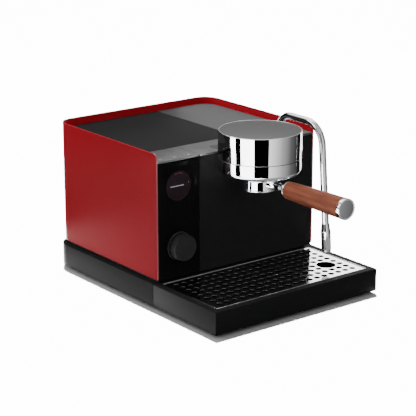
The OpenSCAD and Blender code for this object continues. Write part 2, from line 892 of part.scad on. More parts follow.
module steam_boiler() {
    color([0.7, 0.55, 0.35])
        translate([92, 110, 0]) {
            translate([0, 0, 62]) cylinder(h = 106, r = 33);
            translate([0, 0, 168]) cylinder(h = 6, r = 8);
            for (a = [45 : 90 : 315])
                rotate([0, 0, a])
                    translate([24, 0, pan_floor]) cylinder(h = 62 - pan_floor + eps, r = 4, $fn = hole_fn);
        }
}

module pressure_pipes() {
    color([0.8, 0.5, 0.3]) {
        pipe_run([[92, 110, 174.2], [92, 110, 190], [92, wand_axis_y, 190],
            [wand_x, wand_axis_y, 190], [wand_x, wand_axis_y, deck_z - 24.2]], 3);
        pipe_run([[58.8, 110, 150], [46, 110, 150], [46, 0, 150], [46, 0, 212],
            [neck_half + 0.2, 0, 212]], 3);
    }
}

module power_board() {
    color([0.1, 0.35, 0.2]) {
        translate([139, 60, 64]) cube([1.6, 150, 100]);
        translate([128, 170, 80]) cube([11, 30, 40]);
    }
}

module power_inlet() {
    mid_x = (inlet_x + rocker_x) / 2;
    body_w = inlet_face[0] - 8;
    color([0.04, 0.04, 0.04])
        difference() {
            union() {
                translate([mid_x - inlet_face[0] / 2, wrap_back, inlet_z - inlet_face[1] / 2])
                    cube([inlet_face[0], inlet_t, inlet_face[1]]);
                translate([mid_x - body_w / 2, wrap_back - 22, inlet_z - 13])
                    cube([body_w, 22 + eps, 26]);
            }
            translate([inlet_x - socket_w / 2, inlet_back - socket_depth, inlet_z - socket_h / 2])
                cube([socket_w, socket_depth + eps, socket_h]);
            translate([rocker_x - rocker_w / 2 - 0.5, inlet_back - 13, inlet_z - rocker_half - 1.3])
                cube([rocker_w + 1, 14, 2 * rocker_half + 2.6]);
            translate([rocker_x - rocker_w / 2 - 2, rocker_y, inlet_z])
                rotate([0, 90, 0]) cylinder(h = rocker_w + 4, r = 1.56, $fn = hole_fn);
        }
    color([0.7, 0.7, 0.7])
        for (pin = [[-7, 1], [7, 1], [0, -3]])
            translate([inlet_x + pin[0] - 1, inlet_back - socket_depth - eps, inlet_z + pin[1] - 2])
                cube([2, 12, 4]);
}

// Seen from the side, the rocker's two faces meet in a shallow valley over its pivot
module rocker() {
    rise = rocker_half * tan(rocker_swing);
    color([0.05, 0.05, 0.05])
        translate([rocker_x, rocker_y, inlet_z]) {
            translate([-rocker_w / 2, 0, 0])
                rotate([90, 0, 90])
                    linear_extrude(rocker_w)
                        polygon([[-2.5, -5], [rise + 1.8, -rocker_half], [rise + rocker_face, -rocker_half],
                            [rocker_face, 0], [rocker_face, rocker_half], [1.8, rocker_half], [-2.5, 5]]);
            translate([-rocker_w / 2 - 1.5, 0, 0])
                rotate([0, 90, 0]) cylinder(h = rocker_w + 3, r = 1.5, $fn = hole_fn);
        }
}

module drip_tray() {
    depth = tray_back - front_y;
    basin_x = grate_w / 2 - 4;
    basin_y0 = grate_front + 4;
    basin_d = grate_back - 5 - basin_y0;
    color([0.06, 0.06, 0.06])
        difference() {
            translate([-base_w / 2, front_y, foot_h]) cube([base_w, depth, base_h]);
            translate([-basin_x, basin_y0, basin_z]) cube([2 * basin_x, basin_d, base_h]);
            translate([-grate_w / 2 - 0.5, grate_front - 0.5, grate_z])
                cube([grate_w + 1, grate_back - grate_front + 1, base_h]);
            difference() {
                translate([-base_w / 2 + tray_skin, front_y + tray_skin, foot_h - eps])
                    cube([base_w - 2 * tray_skin, depth - 2 * tray_skin, grate_z - foot_h - 3]);
                translate([-basin_x - tray_skin, basin_y0 - tray_skin, basin_z - 2])
                    cube([2 * (basin_x + tray_skin), basin_d + 2 * tray_skin, base_h]);
            }
        }
}

module drip_grate() {
    rim = 1.6;
    d = grate_back - grate_front;
    big_col = 7.5;
    big_row = 2.5;
    color([0.75, 0.75, 0.76])
        difference() {
            translate([-grate_w / 2, grate_front, grate_z + 0.1]) cube([grate_w, d, grate_t + 1]);
            translate([-grate_w / 2 + rim, grate_front + rim, grate_z + 0.1 + grate_t])
                cube([grate_w - 2 * rim, d - 2 * rim, 2]);
            for (i = [-grate_cols : grate_cols], j = [0 : grate_rows - 1])
                if (abs(i - big_col) > 0.6 || abs(j - big_row) > 0.6)
                    translate([i * grate_pitch, grate_row_y + j * grate_pitch, grate_z - eps])
                        cylinder(h = grate_t + 2, r = grate_hole_d / 2, $fn = 24);
            translate([big_col * grate_pitch, grate_row_y + big_row * grate_pitch, grate_z - eps])
                cylinder(h = grate_t + 2, r = wand_hole_d / 2);
        }
}

// Cup with two bayonet ears, an open ring below and the neck of the handle
module portafilter_body() {
    neck_end = ferrule_y;
    color([0.85, 0.85, 0.87])
        difference() {
            union() {
                translate([0, group_y, 0])
                    rotate_extrude()
                        polygon([[0, ring_z], [ring_r, ring_z], [ring_r + 0.6, ring_z + 1],
                            [ring_r + 0.6, ring_z + 2.2], [ring_r, ring_z + 3], [ring_r, ring_z + 17],
                            [cup_r, ring_z + 22], [cup_r, cup_top], [0, cup_top]]);
                translate([0, group_y, ear_z])
                    intersection() {
                        cylinder(h = ear_h, r = ear_r);
                        translate([-50, -ear_w / 2, 0]) cube([100, ear_w, ear_h]);
                    }
                translate([0, neck_end, handle_z])
                    rotate([-90, 0, 0])
                        cylinder(h = group_y - ring_bore - neck_end, r1 = 7, r2 = 8.5);
            }
            translate([0, group_y, ring_z - eps]) cylinder(h = 60, r = ring_bore);
            translate([0, group_y, basket_bottom - 0.4]) cylinder(h = 60, r = basket_r + 0.4);
            translate([0, neck_end - eps, handle_z])
                rotate([-90, 0, 0]) cylinder(h = 12, r = rod_r + rod_fit, $fn = hole_fn);
        }
}

module filter_basket() {
    color([0.8, 0.8, 0.8])
        translate([0, group_y, 0])
            difference() {
                union() {
                    translate([0, 0, basket_bottom]) cylinder(h = gasket_z - basket_bottom, r = basket_r);
                    translate([0, 0, cup_top]) cylinder(h = gasket_z - cup_top, r = cup_r - 0.3);
                }
                translate([0, 0, basket_bottom + basket_t])
                    cylinder(h = 60, r = basket_r - basket_t);
            }
}

module handle_rod() {
    color([0.6, 0.6, 0.62])
        translate([0, handle_end_y + 3.5, handle_z])
            rotate([-90, 0, 0])
                cylinder(h = ferrule_y + 10 - handle_end_y - 3.5, r = rod_r, $fn = hole_fn);
}

module handle_ferrule() {
    len = ferrule_y - grip_y;
    color([0.85, 0.85, 0.87])
        translate([0, grip_y, handle_z])
            rotate([-90, 0, 0])
                difference() {
                    union() {
                        cylinder(h = ferrule_rim, r = ferrule_r);
                        translate([0, 0, ferrule_rim])
                            cylinder(h = len - ferrule_rim, r1 = ferrule_r, r2 = ferrule_end_r);
                    }
                    translate([0, 0, -eps])
                        cylinder(h = len + 2 * eps, r = rod_r + rod_fit, $fn = hole_fn);
                }
}

module handle_grip() {
    y0 = handle_end_y + cap_t;
    len = grip_y - y0;
    color([0.55, 0.3, 0.2])
        translate([0, y0, handle_z])
            rotate([-90, 0, 0])
                difference() {
                    cylinder(h = len, r1 = grip_d / 2, r2 = grip_inner_d / 2);
                    translate([0, 0, -eps])
                        cylinder(h = len + 2 * eps, r = rod_r + rod_fit, $fn = hole_fn);
                }
}

module handle_cap() {
    color([0.8, 0.8, 0.82])
        translate([0, handle_end_y, handle_z])
            rotate([-90, 0, 0])
                difference() {
                    union() {
                        cylinder(h = 0.8, r1 = grip_d / 2 - 0.8, r2 = grip_d / 2);
                        translate([0, 0, 0.8]) cylinder(h = cap_t - 0.8, r = grip_d / 2);
                    }
                    translate([0, 0, 3.4]) cylinder(h = cap_t, r = rod_r + rod_fit, $fn = hole_fn);
                }
}

base_plinth();
bottom_cover();
base_feet();
case_screws();
chassis_pan();
outer_wrap();
vent_baffle();
front_panel();
control_panel();
display_lens();
dial_ring();
encoder_body();
deck_frame();
front_strip();
rear_deck();
button_board();
group_neck();
group_shroud();
group_skirt();
group_cap();
group_core();
lock_collar();
group_gasket();
shower_screen();
screen_screw();
group_bracket();
wand_collar();
tank_shelf();
tank_socket();
pump();
pump_mounts();
water_hoses();
steam_boiler();
pressure_pipes();
control_board();
power_board();
power_inlet();
water_tank();
tank_valve();
lid_pins();
tank_lid();
drip_tray();
tray_feet();
drip_grate();
portafilter_body();
filter_basket();
handle_rod();
handle_ferrule();
handle_grip();
handle_cap();
wand_tube();
wand_sleeve();
wand_nozzle();
encoder_sleeve();
dial();
brew_button();
steam_button();
water_button();
rocker();
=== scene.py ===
"""Looks of a compact home espresso machine, built around its fixed frame of working parts."""

import math
from functools import partial

import bmesh
import bpy
from mathutils import Matrix, Vector


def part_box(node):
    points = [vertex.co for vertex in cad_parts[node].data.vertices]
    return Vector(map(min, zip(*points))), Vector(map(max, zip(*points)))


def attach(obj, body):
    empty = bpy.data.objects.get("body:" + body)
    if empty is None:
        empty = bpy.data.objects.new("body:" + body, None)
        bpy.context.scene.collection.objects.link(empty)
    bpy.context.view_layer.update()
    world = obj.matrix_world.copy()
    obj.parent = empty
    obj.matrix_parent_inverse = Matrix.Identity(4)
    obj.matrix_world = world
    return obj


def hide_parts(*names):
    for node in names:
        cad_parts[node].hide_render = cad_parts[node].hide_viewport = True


bl_info = {
    "name": "Espresso machine looks",
    "version": (1, 0, 0),
    "blender": (4, 5, 0),
    "location": "View3D > Sidebar > Espresso",
    "description": "Builds the finished surfaces of an espresso machine around its working parts",
    "category": "Object",
}

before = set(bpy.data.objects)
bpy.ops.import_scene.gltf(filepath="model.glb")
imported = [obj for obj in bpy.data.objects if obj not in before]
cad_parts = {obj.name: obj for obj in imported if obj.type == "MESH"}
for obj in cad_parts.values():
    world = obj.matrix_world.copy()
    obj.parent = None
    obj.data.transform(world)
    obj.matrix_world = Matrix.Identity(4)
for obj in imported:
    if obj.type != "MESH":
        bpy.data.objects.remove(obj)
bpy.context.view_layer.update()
MM = 0.001
SMOOTH_ANGLE = math.radians(32)  # edges that turn by more than this stay sharp
FLAT_ANGLE = math.radians(0.6)  # faces that turn by less than this are merged


# ---- places taken from the frame


def centre(node):
    """Middle of a working part's box."""
    low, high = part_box(node)
    return (low + high) / 2


def span(node, axis):
    """Where a working part starts and ends along x, y or z, in millimetres."""
    return tuple(getattr(corner, axis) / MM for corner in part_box(node))


def half_width(node, axis="x"):
    """Half of what a working part measures along an axis, in millimetres."""
    start, end = span(node, axis)
    return (end - start) / 2


PANEL_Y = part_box("front_panel")[0].y
DECK_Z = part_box("front_strip")[1].z
GROUP = centre("group_shroud")
GROUP_R = half_width("group_shroud")
HANDLE = centre("handle_grip")


# ---- node tools


def connect(tree, socket, value):
    """Feeds an input: a node, an output or a list of them is linked, anything else is its value.

    A node stands for its first output."""
    for one in value if isinstance(value, list) else [value]:
        if isinstance(one, bpy.types.Node):
            one = one.outputs[0]
        if isinstance(one, bpy.types.NodeSocket):
            tree.links.new(one, socket)
        else:
            socket.default_value = one


def add(tree, kind, settings=None, **inputs):
    """New node: settings are its own choices, inputs go by name, or by number as i0, i1."""
    node = tree.nodes.new(kind)
    for key, value in (settings or {}).items():
        setattr(node, key, value)
    for key, value in inputs.items():
        numbered = key[0] == "i" and key[1:].isdigit()
        connect(tree, node.inputs[int(key[1:]) if numbered else key.replace("_", " ")], value)
    return node


# ---- materials


FINISHES = {}


def scaled_coordinates(tree, scale):
    """Object coordinates in metres, scaled by three factors."""
    coordinates = add(tree, "ShaderNodeTexCoord").outputs["Object"]
    return add(tree, "ShaderNodeMapping", Scale=scale, Vector=coordinates).outputs["Vector"]


def spread(tree, value, low, high):
    """Maps a 0 to 1 value to a range."""
    return add(tree, "ShaderNodeMapRange", To_Min=low, To_Max=high, Value=value).outputs["Result"]


def finish(name, colour, roughness, metallic=0.0, grain=400, varied=0.06, tint=0.12, bump=0.05,
           depth=0.0001, specular=0.5, ior=1.5, transmission=0.0, mottle=9.0):
    """A surface whose colour, roughness and height vary with two layers of noise.

    grain is how many times per metre the fine noise repeats, along all axes or along each."""
    material = FINISHES[name] = bpy.data.materials.new(name)
    material.use_nodes = True
    tree = material.node_tree
    shader = tree.nodes["Principled BSDF"].inputs
    repeats = grain if isinstance(grain, tuple) else (grain,) * 3
    fine = add(tree, "ShaderNodeTexNoise", Scale=1.0, Detail=3.0, Roughness=0.55,
               Vector=scaled_coordinates(tree, repeats)).outputs["Fac"]
    broad = add(tree, "ShaderNodeTexNoise", Scale=mottle, Detail=2.0,
                Vector=scaled_coordinates(tree, (1, 1, 1))).outputs["Fac"]
    share = add(tree, "ShaderNodeMath", {"operation": "MULTIPLY"}, i0=fine, i1=0.4)
    both = add(tree, "ShaderNodeMath", {"operation": "MULTIPLY_ADD"}, i0=broad, i1=0.6,
               i2=share)
    blend = add(tree, "ShaderNodeMix", {"data_type": "RGBA"}, Factor=both,
                A=(*[c * (1 - tint) for c in colour[:3]], 1),
                B=(*[min(1, c * (1 + tint)) for c in colour[:3]], 1))
    relief = add(tree, "ShaderNodeBump", Strength=bump, Distance=depth, Height=fine)
    connect(tree, shader["Base Color"], blend.outputs["Result"])
    connect(tree, shader["Roughness"],
            spread(tree, both, max(0, roughness - varied), roughness + varied))
    connect(tree, shader["Normal"], relief.outputs["Normal"])
    shader["Metallic"].default_value = metallic
    shader["Specular IOR Level"].default_value = specular
    shader["IOR"].default_value = ior
    shader["Transmission Weight"].default_value = transmission
    return material


def wood_finish(name, light, dark):
    """Oiled hardwood with its grain along Y."""
    material = finish(name, light, 0.45, grain=(900, 60, 900), bump=0.25, depth=0.00015,
                      specular=0.12)
    tree = material.node_tree
    long_grain = add(tree, "ShaderNodeTexNoise", Scale=1.0, Detail=6.0, Roughness=0.65,
                     Distortion=0.6, Vector=scaled_coordinates(tree, (170, 11, 170)))
    pores = add(tree, "ShaderNodeTexNoise", Scale=1.0, Detail=4.0, Roughness=0.7,
                Vector=scaled_coordinates(tree, (1500, 70, 1500)))
    ramp = add(tree, "ShaderNodeValToRGB", Fac=long_grain.outputs["Fac"])
    for stop, position, colour in zip(ramp.color_ramp.elements, (0.3, 0.68), (dark, light)):
        stop.position = position
        stop.color = (*colour, 1)
    shade = add(tree, "ShaderNodeMix", {"data_type": "RGBA", "blend_type": "MULTIPLY"},
                Factor=0.45, A=ramp.outputs["Color"],
                B=spread(tree, pores.outputs["Fac"], 0.45, 1.25))
    connect(tree, tree.nodes["Principled BSDF"].inputs["Base Color"], shade.outputs["Result"])


def glow_finish(name, colour, strength):
    """A lit mark on the display."""
    shader = finish(name, colour, 0.4).node_tree.nodes["Principled BSDF"].inputs
    shader["Emission Color"].default_value = (*colour, 1)
    shader["Emission Strength"].default_value = strength


def make_finishes(colours):
    """Every material of the machine."""
    steel = (0.62, 0.62, 0.63)
    thin = 0.00005
    # Painted sheet and mouldings
    finish("wrap_red", colours.wrap, 0.36, grain=1300, bump=0.06, tint=0.035, varied=0.03,
           specular=0.022)
    # Lighter red with a strong specular for the sheet's rounded edges: a painted highlight
    finish("wrap_edge", (0.62, 0.13, 0.15), 0.3, grain=1300, specular=0.6)
    finish("base_black", colours.base, 0.42, grain=2200, bump=0.12, tint=0.2, varied=0.08,
           specular=0.02)
    finish("panel_black", colours.panel, 0.38, grain=2600, bump=0.08, tint=0.15, specular=0.03)
    finish("control_gloss", (0.009, 0.009, 0.0092), 0.045, varied=0.015, bump=0.005,
           specular=0.015)
    finish("display_glass", colours.display, 0.09, varied=0.02, bump=0.004, specular=0.02,
           tint=0.25, mottle=40)
    finish("dial_black", (0.042, 0.042, 0.0425), 0.45, grain=3000, bump=0.15, tint=0.15,
           specular=0.06)
    finish("lid_dark", colours.lid, 0.56, grain=2600, bump=0.16, tint=0.14, specular=0.06)
    finish("cover_black", (0.022, 0.022, 0.023), 0.55, grain=1500, bump=0.2)
    finish("chassis_black", (0.014, 0.014, 0.014), 0.6, grain=1600, bump=0.2)
    finish("inlet_black", (0.012, 0.012, 0.012), 0.4, grain=1200, bump=0.12)
    finish("device_grey", (0.13, 0.13, 0.14), 0.5, grain=800, bump=0.1)
    finish("icon_white", (0.6, 0.6, 0.6), 0.5)
    glow_finish("lit_white", (0.5, 0.52, 0.58), 0.22)
    glow_finish("lit_orange", (0.4, 0.06, 0.015), 0.06)
    # Metals
    finish("deck_grey", colours.deck, 0.42, 0.55, grain=3200, bump=0.06, tint=0.06)
    finish("button_grey", colours.key, 0.42, 0.5, grain=3200, bump=0.06, tint=0.06)
    finish("chrome", (0.83, 0.83, 0.84), 0.035, 1.0, grain=300, varied=0.012, tint=0.015,
           bump=0.004)
    # Chrome darkened to near black for the bridge: a painted dark reflection
    finish("bridge_chrome", (0.07, 0.07, 0.07), 0.12, 1.0, grain=300, bump=0.01)
    finish("cap_face", (0.36, 0.36, 0.365), 0.24, 1.0, grain=(3200, 300, 300), bump=0.08,
           depth=thin)
    finish("cap_steel", (0.135, 0.135, 0.135), 0.4, 1.0, grain=(260, 4200, 260), bump=0.12,
           depth=thin, tint=0.1)
    finish("grate_steel", (0.8, 0.8, 0.81), 0.13, 1.0, grain=(500, 3000, 500), varied=0.03,
           tint=0.03, bump=0.02, depth=thin)
    finish("plain_steel", steel, 0.3, 1.0, grain=(3500, 120, 3500), bump=0.1, depth=thin)
    finish("screw_steel", steel, 0.28, 1.0, grain=2500)
    finish("basket_steel", (0.7, 0.7, 0.7), 0.2, 1.0, grain=1500)
    finish("boiler_metal", (0.55, 0.55, 0.54), 0.45, 1.0, grain=600, bump=0.2)
    finish("brass", (0.62, 0.42, 0.16), 0.35, 1.0, grain=900)
    finish("copper", (0.72, 0.36, 0.2), 0.3, 1.0, grain=900)
    # Rubber, clear plastic, circuit boards and wood
    finish("foot_rubber", (0.018, 0.018, 0.018), 0.8, grain=900, bump=0.3)
    finish("seal_rubber", (0.02, 0.02, 0.02), 0.7, grain=700, bump=0.2)
    finish("silicone", (0.62, 0.63, 0.62), 0.45, grain=300, transmission=0.25)
    finish("tank_clear", (0.62, 0.68, 0.7), 0.08, grain=120, transmission=0.92, ior=1.35,
           bump=0.01)
    finish("board_green", (0.015, 0.11, 0.05), 0.4, grain=500, mottle=120, tint=0.45)
    wood_finish("wood", colours.wood_light, colours.wood_dark)


# ---- outlines


def circle(x, y, radius, sides=96):
    """Points of a circle."""
    return [(x + radius * math.cos(a), y + radius * math.sin(a))
            for a in (math.tau * k / sides for k in range(sides))]


def rectangle(x0, y0, x1, y1):
    """Corners of a rectangle."""
    return [(x0, y0), (x1, y0), (x1, y1), (x0, y1)]


def rounded(corners, steps=6):
    """Closed outline from corners given as (x, y, fillet radius)."""
    outline = []
    for i, (x, y, fillet) in enumerate(corners):
        here = Vector((x, y))
        if fillet <= 0:
            outline.append(here)
            continue
        back = Vector(corners[i - 1][:2]) - here
        ahead = Vector(corners[(i + 1) % len(corners)][:2]) - here
        half = back.angle(ahead) / 2
        cut = min(fillet / math.tan(half), back.length * 0.49, ahead.length * 0.49)
        radius = cut * math.tan(half)
        bisector = (back.normalized() + ahead.normalized()).normalized()
        middle = here + bisector * (radius / math.sin(half))
        first = here + back.normalized() * cut - middle
        last = here + ahead.normalized() * cut - middle
        start = math.atan2(first.y, first.x)
        turn = math.atan2(last.y, last.x) - start
        turn = (turn + math.pi) % math.tau - math.pi
        for k in range(steps + 1):
            a = start + turn * k / steps
            outline.append(middle + Vector((math.cos(a), math.sin(a))) * radius)
    return outline


def soft_rectangle(x0, y0, x1, y1, fillet, steps):
    """Outline of a rectangle with rounded corners."""
    return rounded([(x, y, fillet) for x, y in rectangle(x0, y0, x1, y1)], steps)


def bar_profile(radius, start, end, first, last):
    """Corners of a plain round bar, its two edges rounded by first and last."""
    return [(0, start, 0), (radius, start, first), (radius, end, last), (0, end, 0)]


# ---- mesh tools


def link(name, mesh):
    """New object with this mesh, at the origin."""
    piece = bpy.data.objects.new(name, mesh)
    bpy.context.scene.collection.objects.link(piece)
    return piece


def plain_mesh(name, points, edges=(), faces=()):
    """New object from lists of points, edges and faces, in metres."""
    mesh = bpy.data.meshes.new(name)
    mesh.from_pydata([tuple(p) for p in points], edges, faces)
    return link(name, mesh)


def smooth(piece):
    """Smooth shading that keeps real edges sharp."""
    piece.data.shade_smooth()
    piece.data.set_sharp_from_angle(angle=SMOOTH_ANGLE)
    return piece


def unloaded(name, work):
    """New object from a bmesh, which is used up."""
    mesh = bpy.data.meshes.new(name)
    work.to_mesh(mesh)
    work.free()
    return link(name, mesh)


def from_bmesh(name, work):
    """Object from a bmesh, with doubles merged and faces pointing outwards."""
    bmesh.ops.remove_doubles(work, verts=work.verts, dist=1e-7)
    bmesh.ops.recalc_face_normals(work, faces=work.faces)
    return smooth(unloaded(name, work))


def applied(piece):
    """Turns a piece's modifiers into plain mesh."""
    bpy.context.view_layer.update()
    graph = bpy.context.evaluated_depsgraph_get()
    mesh = bpy.data.meshes.new_from_object(piece.evaluated_get(graph))
    piece.modifiers.clear()
    piece.data = mesh
    mesh.name = piece.name
    return smooth(piece)


def eased(piece, width, segments=3, angle=35):
    """Rounds a piece's edges by width, in millimetres, where they turn by more than angle."""
    bevel = piece.modifiers.new("ease", "BEVEL")
    bevel.width = width * MM
    bevel.segments = segments
    bevel.limit_method = "ANGLE"
    bevel.angle_limit = math.radians(angle)
    return applied(piece)


def refined(name, node, width, segments=3, angle=35):
    """A cleaned copy of a working part with eased edges."""
    work = bmesh.new()
    work.from_mesh(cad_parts[node].data)
    bmesh.ops.remove_doubles(work, verts=work.verts, dist=2e-6)
    bmesh.ops.dissolve_limit(work, angle_limit=FLAT_ANGLE, verts=work.verts, edges=work.edges)
    return eased(unloaded(name, work), width, segments, angle)


def upright(x, y):
    """Places a turned part's axis along Z."""
    return Matrix.Translation((x, y, 0))


def along_y(x, z):
    """Places a turned part's axis along Y."""
    return Matrix.Translation((x, 0, z)) @ Matrix.Rotation(-math.pi / 2, 4, "X")


def turned(name, corners, place, sides=128, steps=6):
    """Solid of revolution from closed corners (radius, along, fillet) in millimetres."""
    work = bmesh.new()
    rings = []
    for radius, along in rounded(corners, steps):
        points = circle(0, 0, radius, sides) if radius >= 1e-6 else [(0, 0)]
        rings.append([work.verts.new(place @ (Vector((x, y, along)) * MM)) for x, y in points])
    for one, two in zip(rings, rings[1:] + rings[:1]):
        for k in range(sides):
            quad = [one[k % len(one)], one[(k + 1) % len(one)],
                    two[(k + 1) % len(two)], two[k % len(two)]]
            face = list(dict.fromkeys(quad))
            if len(face) > 2:
                work.faces.new(face)
    return from_bmesh(name, work)


def turned_part(name, node, body, slot, corners, place, sides, steps, **more):
    """Puts a solid of revolution in a working part's place."""
    return settle(turned(name, corners, place, sides, steps), body, slot, node, **more)


def lofted(name, sections, around=False):
    """Skin through rings of points, with closed ends, or with its ends joined if around."""
    work = bmesh.new()
    rings = [[work.verts.new(p) for p in section] for section in sections]
    for one, two in zip(rings, rings[1:] + rings[:1] if around else rings[1:]):
        for k in range(len(one)):
            j = (k + 1) % len(one)
            work.faces.new([one[k], one[j], two[j], two[k]])
    if not around:
        work.faces.new(rings[0])
        work.faces.new(rings[-1])
    return from_bmesh(name, work)


def prism(name, outline, low, high, place=Matrix.Identity(4)):
    """Closed outline in millimetres, extruded from low to high along Z, then placed."""
    return lofted(name, [[place @ (Vector((x, y, z)) * MM) for x, y in outline]
                         for z in (low, high)])


def joined(name, *parts):
    """One piece from several meshes."""
    work = bmesh.new()
    for part in parts:
        work.from_mesh(part.data)
        bpy.data.objects.remove(part)
    return smooth(unloaded(name, work))


def settle(piece, body, slot, *nodes, surface=None, mirrored=True):
    """Gives a piece its material, its body and the working parts that it stands for.

    A piece that isn't mirrored is left out of reflections."""
    piece.data.materials.clear()
    piece.data.materials.append(FINISHES[surface or slot])
    for polygon in piece.data.polygons:
        polygon.material_index = 0
    piece.visible_glossy = mirrored
    if nodes:
        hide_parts(*nodes)
    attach(piece, body)
    return piece


def refit(name, node, body, slot, width, segments=3, angle=35, **more):
    """Puts an eased copy of a working part in its place."""
    return settle(refined(name, node, width, segments, angle), body, slot, node, **more)


def paint(slot, *nodes):
    """Gives working parts that stay as they are their detailed material."""
    for node in nodes:
        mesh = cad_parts[node].data
        mesh.materials.clear()
        mesh.materials.append(FINISHES[slot])


# ---- node trees for what repeats


def new_tree(name, **inputs):
    """Geometry node tree with named inputs, and the outputs that give them."""
    tree = bpy.data.node_groups.new(name, "GeometryNodeTree")
    for title, kind in (("Geometry", "Geometry"), *inputs.items()):
        tree.interface.new_socket(title.replace("_", " "), in_out="INPUT",
                                  socket_type="NodeSocket" + kind)
    tree.interface.new_socket("Geometry", in_out="OUTPUT", socket_type="NodeSocketGeometry")
    return tree, add(tree, "NodeGroupInput").outputs


def end_tree(tree, geometry, material):
    """Ends the tree in plain mesh with its material."""
    real = add(tree, "GeometryNodeRealizeInstances", Geometry=geometry)
    done = add(tree, "GeometryNodeSetMaterial", Geometry=real, Material=material)
    add(tree, "NodeGroupOutput", Geometry=done)
    return tree


def perforation_tree():
    """Sheet inside an outline, pierced by a grid of round holes."""
    tree, given = new_tree(
        "perforated_sheet", Columns="Int", Rows="Int", Pitch="Float", Hole_Radius="Float",
        Hole_Sides="Int", Middle="Vector", Field_Radius="Float", Clear_Point="Vector",
        Clear_Radius="Float", Underside="Float", Thickness="Float", Material="Material")
    node = partial(add, tree)
    spans = []
    for count in ("Columns", "Rows"):
        gaps = node("ShaderNodeMath", {"operation": "SUBTRACT"}, i0=given[count], i1=1.0)
        spans.append(node("ShaderNodeMath", {"operation": "MULTIPLY"}, i0=gaps,
                          i1=given["Pitch"]))
    grid = node("GeometryNodeMeshGrid", Size_X=spans[0], Size_Y=spans[1],
                Vertices_X=given["Columns"], Vertices_Y=given["Rows"])
    placed = node("GeometryNodeSetPosition", Geometry=grid.outputs["Mesh"],
                  Offset=given["Middle"])
    where = node("GeometryNodeInputPosition")
    tests = []
    for point, radius, rule in (("Middle", "Field Radius", "LESS_THAN"),
                                ("Clear Point", "Clear Radius", "GREATER_THAN")):
        away = node("ShaderNodeVectorMath", {"operation": "DISTANCE"}, i0=where,
                    i1=given[point])
        tests.append(node("FunctionNodeCompare", {"data_type": "FLOAT", "operation": rule},
                          i0=away.outputs["Value"], i1=given[radius]))
    wanted = node("FunctionNodeBooleanMath", {"operation": "AND"}, i0=tests[0], i1=tests[1])
    hole = node("GeometryNodeCurvePrimitiveCircle", Resolution=given["Hole Sides"],
                Radius=given["Hole Radius"])
    holes = node("GeometryNodeInstanceOnPoints", Points=placed,
                 Instance=hole.outputs["Curve"], Selection=wanted)
    curves = node("GeometryNodeRealizeInstances", Geometry=holes)
    border = node("GeometryNodeMeshToCurve", Mesh=given["Geometry"])
    outline = node("GeometryNodeJoinGeometry", Geometry=[border, curves])
    sheet = node("GeometryNodeFillCurve", Curve=outline)
    lift = node("ShaderNodeCombineXYZ", Z=given["Underside"])
    base = node("GeometryNodeSetPosition", Geometry=sheet, Offset=lift)
    up = node("ShaderNodeCombineXYZ", Z=given["Thickness"])
    walls = node("GeometryNodeExtrudeMesh", {"mode": "FACES"}, Mesh=base,
                 Offset=up, Offset_Scale=1.0, Individual=False)
    under = node("GeometryNodeFlipFaces", Mesh=base)
    whole = node("GeometryNodeJoinGeometry", Geometry=[walls, under])
    closed = node("GeometryNodeMergeByDistance", Geometry=whole, Distance=1e-6)
    return end_tree(tree, closed, given["Material"])


def repeat_tree():
    """A copy of one part at each point of the mesh, all turned the same way."""
    tree, given = new_tree("repeated_part", Part="Object", Turn="Rotation", Material="Material")
    part = add(tree, "GeometryNodeObjectInfo", Object=given["Part"])
    placed = add(tree, "GeometryNodeInstanceOnPoints", Points=given["Geometry"],
                 Instance=part.outputs["Geometry"], Rotation=given["Turn"])
    return end_tree(tree, placed, given["Material"])


def run_tree(piece, tree, **values):
    """Puts a node tree on a piece, sets its inputs and turns the result into plain mesh."""
    modifier = piece.modifiers.new(tree.name, "NODES")
    modifier.node_group = tree
    for item in tree.interface.items_tree:
        if item.in_out == "INPUT" and item.name.replace(" ", "_") in values:
            modifier[item.identifier] = values[item.name.replace(" ", "_")]
    return applied(piece)


def repeated(name, part, points, surface, turn=(0, 0, 0)):
    """One piece made of a part repeated at points given in metres. The part is used up."""
    piece = run_tree(plain_mesh(name, points), repeat_tree(), Part=part, Turn=turn,
                     Material=FINISHES[surface])
    bpy.data.objects.remove(part)
    return piece


def loops(name, *outlines):
    """Flat piece made of closed outlines only, in metres."""
    points, edges = [], []
    for outline in outlines:
        first, count = len(points), len(outline)
        points += [(x, y, 0) for x, y in outline]
        edges += [(first + i, first + (i + 1) % count) for i in range(count)]
    return plain_mesh(name, points, edges)


# ---- sizes and colours a user would change


class EspressoSizes(bpy.types.PropertyGroup):
    """Sizes of the finished surfaces, in metres."""

    edge: bpy.props.FloatProperty(
        name="Sheet edge", description="Rounding of the painted sheet's edges", default=0.0007,
        min=0.0001, max=0.0009, unit="LENGTH")
    case_edge: bpy.props.FloatProperty(
        name="Case edge", description="Rounding of the black base's edges", default=0.0012,
        min=0.0002, max=0.002, unit="LENGTH")
    hole_pitch: bpy.props.FloatProperty(
        name="Grate pitch", description="Distance between the grate's holes", default=0.0145,
        unit="LENGTH")
    hole_radius: bpy.props.FloatProperty(
        name="Grate hole", description="Radius of the grate's holes", default=0.005, unit="LENGTH")
    wand_hole_radius: bpy.props.FloatProperty(
        name="Wand hole", description="Radius of the large hole under the wand", default=0.015,
        unit="LENGTH")
    display_radius: bpy.props.FloatProperty(
        name="Display", description="Radius of the round display",
        default=half_width("display_lens") * MM, unit="LENGTH")


